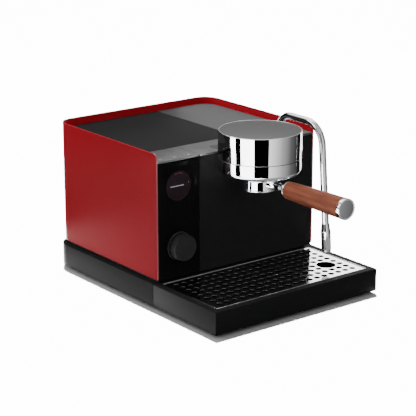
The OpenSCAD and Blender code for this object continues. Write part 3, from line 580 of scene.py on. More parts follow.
class EspressoColours(bpy.types.PropertyGroup):
    """Colours of the main surfaces."""

    wrap: bpy.props.FloatVectorProperty(
        name="Wrap", description="Paint of the bent sheet", default=(0.46, 0.013, 0.023),
        subtype="COLOR")
    base: bpy.props.FloatVectorProperty(
        name="Base", description="Base and drip tray", default=(0.02, 0.02, 0.0202),
        subtype="COLOR")
    panel: bpy.props.FloatVectorProperty(
        name="Panel", description="Satin front panel", default=(0.026, 0.026, 0.026),
        subtype="COLOR")
    lid: bpy.props.FloatVectorProperty(
        name="Lid", description="Matte tank lid", default=(0.021, 0.021, 0.021), subtype="COLOR")
    deck: bpy.props.FloatVectorProperty(
        name="Deck", description="Satin metal of the deck", default=(0.125, 0.125, 0.125),
        subtype="COLOR")
    key: bpy.props.FloatVectorProperty(
        name="Keys", description="Satin metal of the keys", default=(0.15, 0.15, 0.15),
        subtype="COLOR")
    wood_light: bpy.props.FloatVectorProperty(
        name="Wood, light", description="Light bands of the grip", default=(0.46, 0.13, 0.063),
        subtype="COLOR")
    wood_dark: bpy.props.FloatVectorProperty(
        name="Wood, dark", description="Dark bands of the grip", default=(0.15, 0.036, 0.016),
        subtype="COLOR")
    display: bpy.props.FloatVectorProperty(
        name="Display", description="Tint of the display", default=(0.046, 0.029, 0.038),
        subtype="COLOR")


# ---- operators, one for each group of pieces


class ESPRESSO_OT_casing(bpy.types.Operator):
    """Painted wrap with its vents, and the baffle behind them"""

    bl_idname = "espresso.casing"
    bl_label = "Casing"

    def execute(self, context):
        edge = context.scene.espresso_sizes.edge
        wrap = refit("wrap_shell", "outer_wrap", "machine", "wrap_red", edge / MM, angle=50,
                     mirrored=False)
        # The front edge and the edge faces that lean upwards take the lighter red, a painted
        # highlight along the sheet's edges
        wrap.data.materials.append(FINISHES["wrap_edge"])
        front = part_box("outer_wrap")[0].y + edge
        steep, flat = 0.2, 0.98
        for polygon in wrap.data.polygons:
            if polygon.center.y < front or steep < polygon.normal.z < flat:
                polygon.material_index = 1
        paint("chassis_black", "vent_baffle", "chassis_pan")
        return {"FINISHED"}


class ESPRESSO_OT_base(bpy.types.Operator):
    """Black base under the casing, with its bottom cover"""

    bl_idname = "espresso.base"
    bl_label = "Base"

    def execute(self, context):
        edge = context.scene.espresso_sizes.case_edge / MM
        base = refit("base_shell", "base_plinth", "machine", "base_black", edge, angle=60)
        bpy.data.collections["near_floor"].objects.link(base)
        refit("underside_cover", "bottom_cover", "machine", "cover_black", 0.3, 1)
        return {"FINISHED"}


class ESPRESSO_OT_tray(bpy.types.Operator):
    """Pull-out drip tray"""

    bl_idname = "espresso.tray"
    bl_label = "Drip tray"

    def execute(self, context):
        edge = context.scene.espresso_sizes.case_edge / MM
        tray = refit("tray_shell", "drip_tray", "drip_tray", "base_black", edge)
        bpy.data.collections["near_floor"].objects.link(tray)
        return {"FINISHED"}


class ESPRESSO_OT_grate(bpy.types.Operator):
    """Perforated grate with a raised rim"""

    bl_idname = "espresso.grate"
    bl_label = "Grate"

    def execute(self, context):
        sizes = context.scene.espresso_sizes
        pitch = sizes.hole_pitch
        low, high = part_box("drip_grate")
        rim, rise, skin = 1.1 * MM, 0.7 * MM, 1.2 * MM
        under = low.z + 0.8 * MM
        columns, rows = 19, 8
        row_y = low.y + 14.8 * MM
        clear = (7.5 * pitch, row_y + 2.5 * pitch, 0)
        sheet = loops("grate_plate", rectangle(low.x, low.y, high.x, high.y),
                      circle(clear[0], clear[1], sizes.wand_hole_radius, 64))
        run_tree(sheet, perforation_tree(), Columns=columns, Rows=rows, Pitch=pitch,
                 Hole_Radius=sizes.hole_radius, Hole_Sides=28,
                 Middle=(0, row_y + (rows - 1) / 2 * pitch, 0), Field_Radius=1.0,
                 Clear_Point=clear, Clear_Radius=pitch * 0.9, Underside=under, Thickness=skin,
                 Material=FINISHES["grate_steel"])
        eased(sheet, 0.12, 1)
        top = under + skin + rise
        frame_sections = [
            [Vector((x, y, z)) for x, y in rectangle(low.x + inset, low.y + inset,
                                                     high.x - inset, high.y - inset)]
            for inset, z in ((0, low.z), (0, top), (rim, top), (rim, low.z))]
        edge = eased(lofted("grate_rim", frame_sections, around=True), 0.3, 2)
        settle(joined("grate_top", sheet, edge), "grate", "grate_steel", "drip_grate")
        return {"FINISHED"}


class ESPRESSO_OT_feet(bpy.types.Operator):
    """Rubber feet of the base and the tray"""

    bl_idname = "espresso.feet"
    bl_label = "Feet"

    def execute(self, context):
        radius = 14
        for node, body, name in (("base_feet", "machine", "feet_back"),
                                 ("tray_feet", "drip_tray", "feet_front")):
            low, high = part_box(node)
            top = (high.z - low.z) / MM
            foot = turned("foot_form", [
                (0, 0, 0), (radius - 4, 0, 0.8), (radius - 3.4, 0.7, 0.5),
                (radius - 1.6, 0.7, 0.6), (radius, 3, 1.2), (radius, top, 0.3), (0, top, 0)],
                upright(0, 0), 48, 3)
            inset = radius * MM
            points = [(x, y, low.z) for x in (low.x + inset, high.x - inset)
                      for y in (low.y + inset, high.y - inset)]
            settle(repeated(name, foot, points, "foot_rubber"), body, "foot_rubber", node)
        return {"FINISHED"}


class ESPRESSO_OT_screws(bpy.types.Operator):
    """Machine screws under the base and on the back"""

    bl_idname = "espresso.screws"
    bl_label = "Screws"

    def execute(self, context):
        under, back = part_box("bottom_cover")[0].z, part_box("outer_wrap")[1].y
        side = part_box("base_plinth")[1].x - 14 * MM
        row_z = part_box("case_screws")[1].z - 3.6 * MM
        below = [(s * side, y * MM, under) for s in (-1, 1) for y in (6, 120, 232)]
        behind = [(x * MM, back, row_z) for x in (-115, -45, 45, 115)]
        first = repeated("screws_below", screw_form(), below, "screw_steel")
        second = repeated("screws_behind", screw_form(), behind, "screw_steel",
                          turn=(math.pi / 2, 0, 0))
        settle(joined("case_screw_set", first, second), "machine", "screw_steel", "case_screws")
        return {"FINISHED"}


def screw_form():
    """Pan-head screw with a hexagon socket, its head below the origin and its shank above."""
    shank = turned("screw_shank", bar_profile(1.9, 0, 8, 0, 0.4), upright(0, 0), 16, 1)
    sides, flat, sixth = 24, 1.25, math.pi / 3
    angles = [math.tau * k / sides for k in range(sides)]
    sections = [[(r, a, z) for a in angles]
                for r, z in ((3.55, 0.0), (3.55, -0.7), (3.2, -1.2), (2.6, -1.4))]
    sections += [[(flat / math.cos((a + sixth / 2) % sixth - sixth / 2), a, z) for a in angles]
                 for z in (-1.4, -0.5)]
    head = lofted("screw_head", [[Vector((r * math.cos(a), r * math.sin(a), z)) * MM
                                  for r, a, z in section] for section in sections])
    return joined("screw_form", shank, head)


class ESPRESSO_OT_panels(bpy.types.Operator):
    """Satin front panel and glossy control panel"""

    bl_idname = "espresso.panels"
    bl_label = "Panels"

    def execute(self, context):
        refit("front_face", "front_panel", "machine", "panel_black", 0.4, 2)
        refit("control_face", "control_panel", "machine", "control_gloss", 0.35, 2)
        return {"FINISHED"}


class ESPRESSO_OT_display(bpy.types.Operator):
    """Round display lens with plain lit marks"""

    bl_idname = "espresso.display"
    bl_label = "Display"

    def execute(self, context):
        spot = centre("display_lens")
        radius = context.scene.espresso_sizes.display_radius / MM
        front, back = span("display_lens", "y")
        turned_part("display_window", "display_lens", "machine", "display_glass",
                    bar_profile(radius, front, back, 0.4, 0.2), along_y(spot.x, spot.z), 96, 4)
        place = (Matrix.Translation((spot.x, front * MM, spot.z))
                 @ Matrix.Rotation(math.pi / 2, 4, "X"))
        skin = 0.06
        bar = prism("display_bar", soft_rectangle(-15.5, -0.5, 9.5, 0.9, 0.6, 4), 0, skin, place)
        dot = prism("display_dot", circle(18, 3, 0.6, 24), 0, skin, place)
        arc = [math.radians(112 - 44 * k / 16) for k in range(17)]
        band = [(r * math.cos(a), r * math.sin(a)) for r, angles in
                ((radius - 3.2, arc), (radius - 3.8, arc[::-1])) for a in angles]
        curve = prism("display_arc", band, 0, skin, place)
        for mark, glow in ((bar, "lit_white"), (dot, "lit_white"), (curve, "lit_orange")):
            settle(mark, "machine", "display_glass", surface=glow)
        return {"FINISHED"}


class ESPRESSO_OT_dial(bpy.types.Operator):
    """Dial and the ring behind it"""

    bl_idname = "espresso.dial"
    bl_label = "Dial"

    def execute(self, context):
        spot = centre("dial")
        place = along_y(spot.x, spot.z)
        radius = half_width("dial")
        front, back = span("dial", "y")
        skirt = front + 12
        turned_part("dial_knob", "dial", "dial", "dial_black", [
            (0, front + 0.35, 0), (radius - 2.2, front + 0.35, 0.3), (radius - 1.6, front, 0.3),
            (radius, front, 1.0), (radius, skirt, 0.5), (radius - 2, skirt + 0.01, 0.2),
            (radius - 2, skirt - 2, 0.2), (3, skirt - 2, 0.2), (3, back, 0.4), (0, back, 0)],
            place, 128, 5)
        outer = half_width("dial_ring")
        front, back = span("dial_ring", "y")
        turned_part("dial_base_ring", "dial_ring", "machine", "dial_black", [
            (8, front + 0.8, 0.3), (outer - 3, front + 0.8, 0.3), (outer - 2.4, front, 0.3),
            (outer, front, 0.7), (outer, back, 0.1), (8, back, 0.1)], place, 128, 4)
        paint("device_grey", "encoder_body", "encoder_sleeve")
        return {"FINISHED"}


class ESPRESSO_OT_deck(bpy.types.Operator):
    """Satin deck strip and rear deck, matte tank lid and the frame below them"""

    bl_idname = "espresso.deck"
    bl_label = "Deck"

    def execute(self, context):
        refit("deck_strip", "front_strip", "machine", "deck_grey", 0.25, 2, mirrored=False)
        refit("deck_rear", "rear_deck", "machine", "deck_grey", 0.5, 2)
        refit("lid_plate", "tank_lid", "tank_lid", "lid_dark", 0.45, 2, 50)
        refit("frame_under_deck", "deck_frame", "machine", "chassis_black", 0.4, 1, 50)
        return {"FINISHED"}


class ESPRESSO_OT_keys(bpy.types.Operator):
    """Three flush push keys with plain marks"""

    bl_idname = "espresso.keys"
    bl_label = "Keys"

    def execute(self, context):
        narrower = 0.986
        for node, mark in (("brew_button", cup_mark), ("steam_button", steam_mark),
                           ("water_button", drop_mark)):
            key = refit(node.replace("button", "key"), node, node, "button_grey", 0.3,
                        mirrored=False)
            low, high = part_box(node)
            middle = (low.x + high.x) / 2
            for vertex in key.data.vertices:
                vertex.co.x = middle + (vertex.co.x - middle) * narrower
            place = Matrix.Translation((middle, low.y + 10.5 * MM, high.z))
            settle(mark(node.replace("button", "mark"), place), node, "button_grey",
                   surface="icon_white")
        return {"FINISHED"}


MARK_H = 0.05  # how far the marks stand proud of the keys, in millimetres


def cup_mark(name, place):
    """Ring seen from above."""
    return lofted(name, [[place @ (Vector((x, y, z)) * MM) for x, y in circle(0, 0, r, 32)]
                         for r, z in ((2.4, 0), (2.4, MARK_H), (1.872, MARK_H), (1.872, 0))],
                  around=True)


def steam_mark(name, place):
    """Three short upright bars."""
    return joined(name, *[
        prism("steam_bar", soft_rectangle(x - 0.3, -2, x + 0.3, 2, 0.25, 3), 0, MARK_H, place)
        for x in (-1.6, 0, 1.6)])


def drop_mark(name, place):
    """Drop of water."""
    angles = [math.radians(a) for a in range(-125, 126, 10)]
    round_part = [(1.6 * math.sin(a), -0.6 - 1.6 * math.cos(a)) for a in angles]
    return prism(name, round_part + [(0, 2.4)], 0, MARK_H, place)


class ESPRESSO_OT_group(bpy.types.Operator):
    """Polished drum of the brew group, its skirt, brushed top disc and bridge"""

    bl_idname = "espresso.group"
    bl_label = "Brew group"

    def execute(self, context):
        place = upright(GROUP.x, GROUP.y)
        r = GROUP_R
        bottom, top = span("group_shroud", "z")
        bottom += 0.2
        turned_part("group_drum", "group_shroud", "machine", "chrome", [
            (r - 2, bottom, 0.1), (r, bottom, 0.12), (r, top, 0.9), (r - 2, top, 0.25),
            (r - 2, top - 1.9, 0.1), (r - 7, top - 1.9, 0.1), (r - 7, top - 4, 0.1),
            (r - 2, top - 4, 0.1)], place, 256, 5)
        bottom, top = span("group_skirt", "z")
        inner, fillet, wall, joint = 46.0, 14.0, 2.5, top - 0.4
        turned_part("group_lower_ring", "group_skirt", "machine", "chrome", [
            (r - wall, joint, 0.1), (r, joint, 0.12), (r, bottom, fillet), (inner, bottom, 0.5),
            (inner, bottom + wall, 0.3), (r - wall, bottom + wall, fillet - wall)],
            place, 256, 16)
        # Black ring filling the gap between drum and skirt: painted shade that makes the seam read
        # dark
        seam = turned("group_seam", [
            (r - 1.4, top - 0.6, 0.05), (r - 0.35, top - 0.6, 0.05), (r - 0.35, top + 0.4, 0.05),
            (r - 1.4, top + 0.4, 0.05)], place, 256, 2)
        settle(seam, "machine", "chrome", surface="chassis_black")
        disc = bar_profile(half_width("group_cap", "y"), *span("group_cap", "z"), 0.1, 0.3)
        turned_part("group_top_disc", "group_cap", "machine", "cap_steel", disc, place, 192, 3)
        # The bridge's chrome is darkened, a painted dark reflection
        refit("group_bridge", "group_neck", "machine", "chrome", 0.6, 3, 50,
              surface="bridge_chrome", mirrored=False)
        return {"FINISHED"}


class ESPRESSO_OT_brew_parts(bpy.types.Operator):
    """Bayonet collar, seal and perforated shower screen under the group"""

    bl_idname = "espresso.brew_parts"
    bl_label = "Brew parts"

    def execute(self, context):
        refit("bayonet_collar", "lock_collar", "machine", "plain_steel", 0.3, 2, 50)
        place = upright(GROUP.x, GROUP.y)
        r = half_width("shower_screen", "y")
        bottom, top = span("shower_screen", "z")
        wall = turned("screen_wall", [
            (r - 0.9, bottom + 0.1, 0.2), (r, bottom, 0.8), (r, top, 0.2), (3, top, 0.1),
            (3, top - 2, 0.1), (r - 0.9, top - 2, 0.3)], place, 96, 4)
        mesh = perforated_disc("screen_mesh", r - 0.8, bottom, thickness=0.5, pitch=2.6,
                               hole=0.55, clear=6)
        settle(joined("shower_disc", wall, mesh), "machine", "plain_steel", "shower_screen")
        bottom, top = span("screen_screw", "z")
        turned_part("screen_screw_head", "screen_screw", "machine", "screw_steel", [
            (0, bottom, 0), (5, bottom, 0.5), (5, bottom + 1.4, 0.1), (2, bottom + 1.4, 0.1),
            (2, top, 0.2), (0, top, 0)], place, 48, 3)
        paint("seal_rubber", "group_gasket")
        paint("brass", "group_core")
        return {"FINISHED"}


def perforated_disc(name, radius, z, thickness, pitch, hole, clear):
    """Round sheet under the group with a grid of small holes, in millimetres."""
    middle, count, border = (GROUP.x, GROUP.y, 0), 23, 1.6
    return run_tree(loops(name, circle(GROUP.x, GROUP.y, radius * MM)), perforation_tree(),
                    Columns=count, Rows=count, Pitch=pitch * MM, Hole_Radius=hole * MM,
                    Hole_Sides=8, Middle=middle, Field_Radius=(radius - border) * MM,
                    Clear_Point=middle, Clear_Radius=clear * MM, Underside=z * MM,
                    Thickness=thickness * MM, Material=FINISHES["plain_steel"])


class ESPRESSO_OT_portafilter(bpy.types.Operator):
    """Bayonet cup with its neck, and the filter basket"""

    bl_idname = "espresso.portafilter"
    bl_label = "Portafilter"

    def execute(self, context):
        place = upright(GROUP.x, GROUP.y)
        bottom, top = span("portafilter_body", "z")
        ring, bore, cup, seat, shelf = 27.0, 24.5, 33.5, 29.8, bottom + 18.2
        cup_body = turned("cup_body", [
            (bore, bottom, 0.8), (ring, bottom, 0.8), (ring + 0.6, bottom + 1, 0.4),
            (ring + 0.6, bottom + 2.4, 0.4), (ring, bottom + 3, 0.4), (ring, bottom + 17, 2),
            (cup, bottom + 22, 2), (cup, top, 0.8), (seat, top, 0.3), (seat, shelf, 0.3),
            (bore, shelf, 0.4)], place, 160, 6)
        whole = joined("portafilter_cup", cup_body, ear_form(-1), ear_form(1), neck_form())
        settle(whole, "portafilter", "chrome", "portafilter_body")
        bottom, top = span("filter_basket", "z")
        r, t, rim = 29.4, 0.8, 33.2
        wall = turned("basket_wall", [
            (r - 3, bottom, 0), (r, bottom, 2.6), (r, top - 1.2, 0.4), (rim, top - 1.2, 0.4),
            (rim, top, 0.5), (r - t, top, 0.6), (r - t, bottom + t, 2), (r - 3, bottom + t, 0)],
            place, 128, 6)
        floor = perforated_disc("basket_floor", r - 3, bottom, thickness=t, pitch=2.3,
                                hole=0.45, clear=0.1)
        settle(joined("basket_cup", wall, floor), "portafilter", "basket_steel", "filter_basket")
        rod = bar_profile(half_width("handle_rod"), *span("handle_rod", "y"), 0.4, 0.4)
        turned_part("grip_rod", "handle_rod", "portafilter", "screw_steel", rod,
                    along_y(HANDLE.x, HANDLE.z), 64, 3, mirrored=False)
        return {"FINISHED"}


def ear_form(side):
    """Bayonet ear on one side of the cup, -1 or 1."""
    bottom = span("portafilter_body", "z")[0]
    steps, half = 12, 15
    angles = [math.radians(half * (2 * k / steps - 1)) for k in range(steps + 1)]
    outline = [(side * r * math.cos(a), side * r * math.sin(a))
               for r, way in ((37.85, angles), (32.0, angles[::-1])) for a in way]
    ear = prism("cup_ear", outline, bottom + 31.2, bottom + 35.8, upright(GROUP.x, GROUP.y))
    return eased(ear, 0.5, 2)


def neck_form():
    """Cast neck from the cup to the ferrule, waisted, with a hollow along each side."""
    start, end = GROUP.y / MM - 23, span("handle_ferrule", "y")[1] - 0.2
    steps, count = 22, 40
    sections = []
    for i in range(steps + 1):
        t = i / steps
        waist = 1 - math.sin(math.pi * min(1, t * 1.02)) * 0.2
        width, height = (9.6 - 2.4 * t) * waist, (8.3 - 1.2 * t) * waist
        groove = 0.3 * math.sin(math.pi * t) ** 1.5
        sections.append([
            Vector((width * (1 - groove * abs(x) ** 6) * x, start + (end - start) * t,
                    HANDLE.z / MM + height * z)) * MM for x, z in circle(0, 0, 1, count)])
    return lofted("cup_neck", sections)


class ESPRESSO_OT_handle(bpy.types.Operator):
    """Wooden grip between a polished ferrule and end cap"""

    bl_idname = "espresso.handle"
    bl_label = "Handle"

    def execute(self, context):
        place = along_y(HANDLE.x, HANDLE.z)
        bore = 4.1
        near_r, end_r = half_width("handle_ferrule"), half_width("handle_grip")
        y0, y1 = span("handle_ferrule", "y")
        turned_part("grip_ferrule", "handle_ferrule", "portafilter", "chrome", [
            (bore, y0, 0.1), (near_r, y0, 0.3), (near_r, y0 + 1.5, 1.0), (9, y1, 0.6),
            (bore, y1, 0.1)], place, 128, 6, mirrored=False)
        y0, y1 = span("handle_grip", "y")
        belly, count, corner = 0.25, 14, 0.6
        side = []
        for k in range(count + 1):
            t = k / count
            radius = end_r + (near_r + 0.4 - end_r) * t + belly * (math.sin(math.pi * t) - 1)
            side.append((radius, y0 + (y1 - y0) * t, corner if k in (0, count) else 0))
        turned_part("wooden_grip", "handle_grip", "portafilter", "wood",
                    [(bore, y0, 0.1), *side, (bore, y1, 0.1)], place, 128, 4, mirrored=False)
        y0, y1 = span("handle_cap", "y")
        turned_part("grip_end_cap", "handle_cap", "portafilter", "chrome", [
            (0, y0 + 0.5, 0), (end_r - 2.2, y0 + 0.5, 0.4), (end_r - 1.4, y0, 0.5),
            (end_r, y0, 1.0), (end_r, y1, 0.4), (bore, y1, 0.1), (bore, y0 + 3.6, 0.1),
            (0, y0 + 3.6, 0)], place, 128, 5, mirrored=False)
        face = turned("grip_cap_face", bar_profile(end_r - 2.6, y0 + 0.42, y0 + 0.8, 0.1, 0.1),
                      place, 96, 3)
        settle(face, "portafilter", "chrome", surface="cap_face", mirrored=False)
        return {"FINISHED"}


WAND_LEAN = math.radians(4.96)  # lean of the tube's hanging part
WAND_BENDS = (36.0, 27.0)  # radii of its two bends, in millimetres
WAND_CROSSING = 39.0  # length between the bends' middles, in millimetres


def wand_route(z_start):
    """Centre line of the tube from its hanging end to its foot in the deck."""
    low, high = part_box("wand_tube")
    inset = half_width("wand_tube") * MM
    x, back_y, top = centre("wand_tube").x, high.y - inset, high.z - inset
    first, second = (b * MM for b in WAND_BENDS)
    steps = 24
    bend2 = Vector((x, back_y - second, top - second))
    bend1 = Vector((x, bend2.y - WAND_CROSSING * MM, top - first))
    route = []
    for middle, radius, start, end in (
            (bend1, first, math.pi - WAND_LEAN, math.pi / 2), (bend2, second, math.pi / 2, 0)):
        for k in range(steps + 1):
            a = start + (end - start) * k / steps
            route.append(middle + Vector((0, math.cos(a), math.sin(a))) * radius)
    hang = route[0]
    foot = Vector((x, hang.y - (hang.z - z_start) * math.tan(WAND_LEAN), z_start))
    return [foot.lerp(hang, k / 12) for k in range(12)] + route + [Vector((x, back_y, low.z))]


def tube(name, route, radius):
    """Round tube along a route in a plane of constant X."""
    across = Vector((1, 0, 0))
    sections = []
    for i, point in enumerate(route):
        ahead = route[min(i + 1, len(route) - 1)] - route[max(i - 1, 0)]
        other = ahead.normalized().cross(across)
        sections.append([point + across * x + other * z for x, z in circle(0, 0, radius, 40)])
    return lofted(name, sections)


class ESPRESSO_OT_wand(bpy.types.Operator):
    """Bent steam tube with its thick sleeve, nozzle and bearing collar"""

    bl_idname = "espresso.wand"
    bl_label = "Steam wand"

    def execute(self, context):
        tip = Vector((centre("wand_nozzle").x, 0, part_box("wand_nozzle")[0].z))
        r = half_width("wand_tube")
        route = wand_route(tip.z + 38 * MM)
        settle(tube("wand_pipe", route, r * MM), "steam_wand", "chrome", "wand_tube")
        tip.y = route[0].y - (route[0].z - tip.z) * math.tan(WAND_LEAN)
        place = Matrix.Translation(tip) @ Matrix.Rotation(-WAND_LEAN, 4, "X")
        sleeve_r, skin = 7.65, r + 0.03
        turned_part("wand_grip_sleeve", "wand_sleeve", "steam_wand", "chrome", [
            (skin, 47.3, 0.1), (r + 0.5, 47.3, 0.2), (sleeve_r, 35.1, 5.0), (sleeve_r, 6.5, 0.5),
            (5, 6.5, 0.1), (5, 39, 0.1), (skin, 39.2, 0.1)], place, 96, 8)
        turned_part("wand_tip", "wand_nozzle", "steam_wand", "plain_steel", [
            (0, 0.6, 0), (2.2, 0.1, 0.3), (4.8, 0, 0.8), (7.0, 3, 1.0), (7.0, 6.1, 0.3),
            (0, 6.1, 0)], place, 72, 5)
        spot, bore, deck = centre("wand_collar"), r + 0.08, DECK_Z / MM + 0.02
        bottom, top = span("wand_collar", "z")
        turned_part("wand_bearing", "wand_collar", "machine", "chrome", [
            (bore, top, 0.3), (8.6, top, 0.6), (10.9, top - 2, 0.8), (10.9, deck, 0.2),
            (9.1, deck, 0.1), (9.1, bottom, 0.5), (bore, bottom, 0.1)],
            upright(spot.x, spot.y), 96, 5)
        return {"FINISHED"}


class ESPRESSO_OT_inlet(bpy.types.Operator):
    """Mains inlet with bright pins and a rocker switch"""

    bl_idname = "espresso.inlet"
    bl_label = "Inlet"

    def execute(self, context):
        refit("inlet_block", "power_inlet", "machine", "inlet_black", 0.35, 2)
        refit("rocker_key", "rocker", "power_rocker", "inlet_black", 0.4, 2)
        x, y, z = 78 * MM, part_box("power_inlet")[1].y - 17 * MM, centre("power_inlet").z
        pin = prism("pin_form", soft_rectangle(-1.08, -2.08, 1.08, 2.08, 0.5, 3), 0, 11.8)
        points = [(x + dx * MM, y, z + dz * MM) for dx, dz in ((-7, 1), (7, 1), (0, -3))]
        pins = repeated("inlet_pins", pin, points, "screw_steel", turn=(-math.pi / 2, 0, 0))
        settle(pins, "machine", "screw_steel")
        return {"FINISHED"}


class ESPRESSO_OT_inside(bpy.types.Operator):
    """Tank and everything behind the panels"""

    bl_idname = "espresso.inside"
    bl_label = "Inside"

    def execute(self, context):
        refit("tank_body", "water_tank", "water_tank", "tank_clear", 0.5, 2, 50)
        paint("silicone", "tank_valve", "water_hoses")
        paint("screw_steel", "lid_pins")
        paint("plain_steel", "tank_shelf", "group_bracket")
        paint("device_grey", "tank_socket", "pump")
        paint("seal_rubber", "pump_mounts")
        paint("boiler_metal", "steam_boiler")
        paint("copper", "pressure_pipes")
        paint("board_green", "control_board", "power_board", "button_board")
        return {"FINISHED"}


# ---- studio, in metres and degrees


CAMERA_AZIMUTH = -37.72
CAMERA_ELEVATION = 16.67
CAMERA_DISTANCE = 2.3938
CAMERA_TARGET = Vector((0.0, 0.0571, 0.1144))
CAMERA_LENS = 131.49

# Curved cards: name, first and last azimuth, radius, bottom, top, first and last glow
CURVED_FLAGS = (
    ("flag_front", -54, -17, 0.45, 0.012, 0.6, 0.0, 0.0),
    ("flag_thin", -105, -90, 0.45, 0.012, 0.6, 0.0, 0.0),
    ("flag_back", -200, -122, 0.47, 0.012, 0.5, 0.004, 0.02),
    ("flag_soft", -17, 20, 0.46, 0.012, 0.6, 1.7, 0.55),
    ("flag_grey", 20, 48, 0.46, 0.012, 0.6, 0.55, 0.16),
    ("flag_dark", 48, 74, 0.46, 0.012, 0.6, 0.16, 0.04),
    ("flag_low", 112, 165, 0.45, 0.001, 0.12, 0.01, 0.01),
    ("flag_right", 74, 98, 0.45, 0.012, 0.6, 0.01, 0.01),
    ("glow_back", 112, 165, 0.5, 0.122, 0.225, 5.0, 5.0),
)

# Level cards: name, rectangle, height, glow
FLOOR_H = 0.0006
FLAT_FLAGS = (
    ("flag_floor", (-0.19, -0.6, 0.6, -0.17), FLOOR_H, 0.4),
    ("flag_side", (-0.7, -0.17, -0.162, 0.7), FLOOR_H, 7.5),
    ("flag_far_side", (0.2, -0.17, 0.7, 0.35), FLOOR_H, 0.05),
    ("flag_deck", (-0.15, PANEL_Y, 0.15, 0.04), DECK_Z - 0.4 * MM, 0.02),
)


def direction(azimuth, elevation):
    """Unit vector from the machine towards a place in the studio."""
    a, e = math.radians(azimuth), math.radians(elevation)
    return Vector((math.sin(a) * math.cos(e), -math.cos(a) * math.cos(e), math.sin(e)))


def aimed(item, target, azimuth, elevation, distance):
    """Puts a lamp or camera at a place in the studio, looking at the target."""
    bpy.context.scene.collection.objects.link(item)
    away = direction(azimuth, elevation)
    item.location = target + away * distance
    item.rotation_mode = "QUATERNION"
    item.rotation_quaternion = away.to_track_quat("Z", "Y")
    return item


def lamp(name, kind, azimuth, elevation, distance, **settings):
    """Light aimed at the middle of the machine."""
    data = bpy.data.lights.new(name, kind)
    for key, value in settings.items():
        setattr(data, key, value)
    return aimed(bpy.data.objects.new(name, data), Vector((0, 0, 0.12)), azimuth, elevation,
                 distance)


def bright_world(name, seen, felt):
    """White surroundings: seen is what the camera sees, felt is what lights the machine."""
    world = bpy.data.worlds.new(name)
    world.use_nodes = True
    tree = world.node_tree
    way = add(tree, "ShaderNodeSeparateXYZ",
              i0=add(tree, "ShaderNodeTexCoord").outputs["Generated"])
    height = add(tree, "ShaderNodeMapRange", From_Min=-0.15, From_Max=0.35, To_Min=felt * 0.12,
                 To_Max=felt, Value=way.outputs["Z"])
    strength = add(tree, "ShaderNodeMix", A=height.outputs["Result"], B=seen,
                   Factor=add(tree, "ShaderNodeLightPath").outputs["Is Camera Ray"])
    background = tree.nodes["Background"].inputs
    background["Color"].default_value = (1, 1, 1, 1)
    connect(tree, background["Strength"], strength.outputs["Result"])
    return world


def reflected_card(card, glows):
    """Makes a card glow by a value at each of its points, seen by nothing but reflections."""
    shade = card.data.attributes.new("shade", "FLOAT", "POINT")
    shade.data.foreach_set("value", glows)
    material = bpy.data.materials.new(card.name)
    material.use_nodes = True
    tree = material.node_tree
    tree.nodes.clear()
    value = add(tree, "ShaderNodeAttribute", {"attribute_name": "shade"}).outputs["Fac"]
    glow = add(tree, "ShaderNodeEmission", Color=(1, 1, 1, 1), Strength=value)
    add(tree, "ShaderNodeOutputMaterial", i0=glow)
    card.data.materials.append(material)
    card.visible_camera = False
    card.visible_diffuse = False
    card.visible_shadow = False
    card.visible_transmission = False


def curved_flag(name, start, stop, radius, low, high, first, last):
    """Upright card on a circle round the group, its glow running from first to last."""
    steps = 8
    points, glows = [], []
    for k in range(steps + 1):
        way = direction(start + (stop - start) * k / steps, 0) * radius
        points += [way + Vector((GROUP.x, GROUP.y, z)) for z in (low, high)]
        glows += [first + (last - first) * k / steps] * 2
    faces = [(2 * k, 2 * k + 2, 2 * k + 3, 2 * k + 1) for k in range(steps)]
    reflected_card(plain_mesh(name, points, faces=faces), glows)


def level_sheet(name, corners, z):
    """Flat rectangle at a height."""
    return plain_mesh(name, [(x, y, z) for x, y in rectangle(*corners)], faces=[(0, 1, 2, 3)])


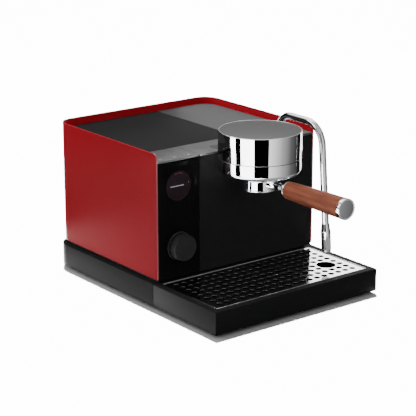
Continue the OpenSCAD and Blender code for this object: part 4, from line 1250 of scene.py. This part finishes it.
class ESPRESSO_OT_studio(bpy.types.Operator):
    """Pale floor, soft lights and the camera"""

    bl_idname = "espresso.studio"
    bl_label = "Studio"

    def execute(self, context):
        scene = context.scene
        camera = bpy.data.objects.new("camera", bpy.data.cameras.new("camera"))
        camera.data.sensor_width = 36
        camera.data.lens = CAMERA_LENS
        camera.data.clip_end = 60
        scene.camera = aimed(camera, CAMERA_TARGET, CAMERA_AZIMUTH, CAMERA_ELEVATION,
                             CAMERA_DISTANCE)

        half = 12
        floor = level_sheet("floor", (-half, -half, half, half), 0)
        floor.data.materials.append(finish("floor_white", (0.52, 0.52, 0.52), 0.9, tint=0.0,
                                           bump=0.0, specular=0.0))
        floor.visible_diffuse = False

        scene.world = bright_world("studio_world", seen=14.0, felt=0.62)
        sun = lamp("floor_light", "SUN", 146, 69, 3.0, energy=90, angle=math.radians(3.5))
        only_floor = bpy.data.collections.new("floor_only")
        only_floor.objects.link(floor)
        sun.light_linking.receiver_collection = only_floor
        sun.light_linking.blocker_collection = bpy.data.collections.new("near_floor")
        lamp("top_light", "AREA", 160, 62, 2.4, shape="RECTANGLE", size=2.2, size_y=1.6,
             energy=30)
        lamp("left_light", "AREA", -120, 30, 2.2, shape="RECTANGLE", size=1.2, size_y=1.2,
             energy=16)
        for settings in CURVED_FLAGS:
            curved_flag(*settings)
        for name, corners, z, glow in FLAT_FLAGS:
            reflected_card(level_sheet(name, corners, z), [glow] * 4)
        return {"FINISHED"}


STEPS = (
    ESPRESSO_OT_studio, ESPRESSO_OT_casing, ESPRESSO_OT_base, ESPRESSO_OT_tray, ESPRESSO_OT_grate,
    ESPRESSO_OT_feet, ESPRESSO_OT_screws, ESPRESSO_OT_panels, ESPRESSO_OT_display,
    ESPRESSO_OT_dial, ESPRESSO_OT_deck, ESPRESSO_OT_keys, ESPRESSO_OT_group,
    ESPRESSO_OT_brew_parts, ESPRESSO_OT_portafilter, ESPRESSO_OT_handle, ESPRESSO_OT_wand,
    ESPRESSO_OT_inlet, ESPRESSO_OT_inside,
)


class ESPRESSO_PT_panel(bpy.types.Panel):
    """Buttons for every part of the espresso machine"""

    bl_idname = "ESPRESSO_PT_panel"
    bl_label = "Espresso machine"
    bl_space_type = "VIEW_3D"
    bl_region_type = "UI"
    bl_category = "Espresso"

    def draw(self, context):
        for group in (context.scene.espresso_sizes, context.scene.espresso_colours):
            for name in group.__annotations__:
                self.layout.prop(group, name)
        for step in STEPS:
            self.layout.operator(step.bl_idname)


CLASSES = (EspressoSizes, EspressoColours, *STEPS, ESPRESSO_PT_panel)


def register():
    """Adds the classes and the two groups of settings."""
    for one in CLASSES:
        bpy.utils.register_class(one)
    bpy.types.Scene.espresso_sizes = bpy.props.PointerProperty(type=EspressoSizes)
    bpy.types.Scene.espresso_colours = bpy.props.PointerProperty(type=EspressoColours)


def unregister():
    """Takes them away again."""
    del bpy.types.Scene.espresso_colours
    del bpy.types.Scene.espresso_sizes
    for one in reversed(CLASSES):
        bpy.utils.unregister_class(one)


def main():
    """Builds the whole machine."""
    register()
    make_finishes(bpy.context.scene.espresso_colours)
    for step in STEPS:
        group, name = step.bl_idname.split(".")
        getattr(getattr(bpy.ops, group), name)()


if __name__ == "__main__":
    main()
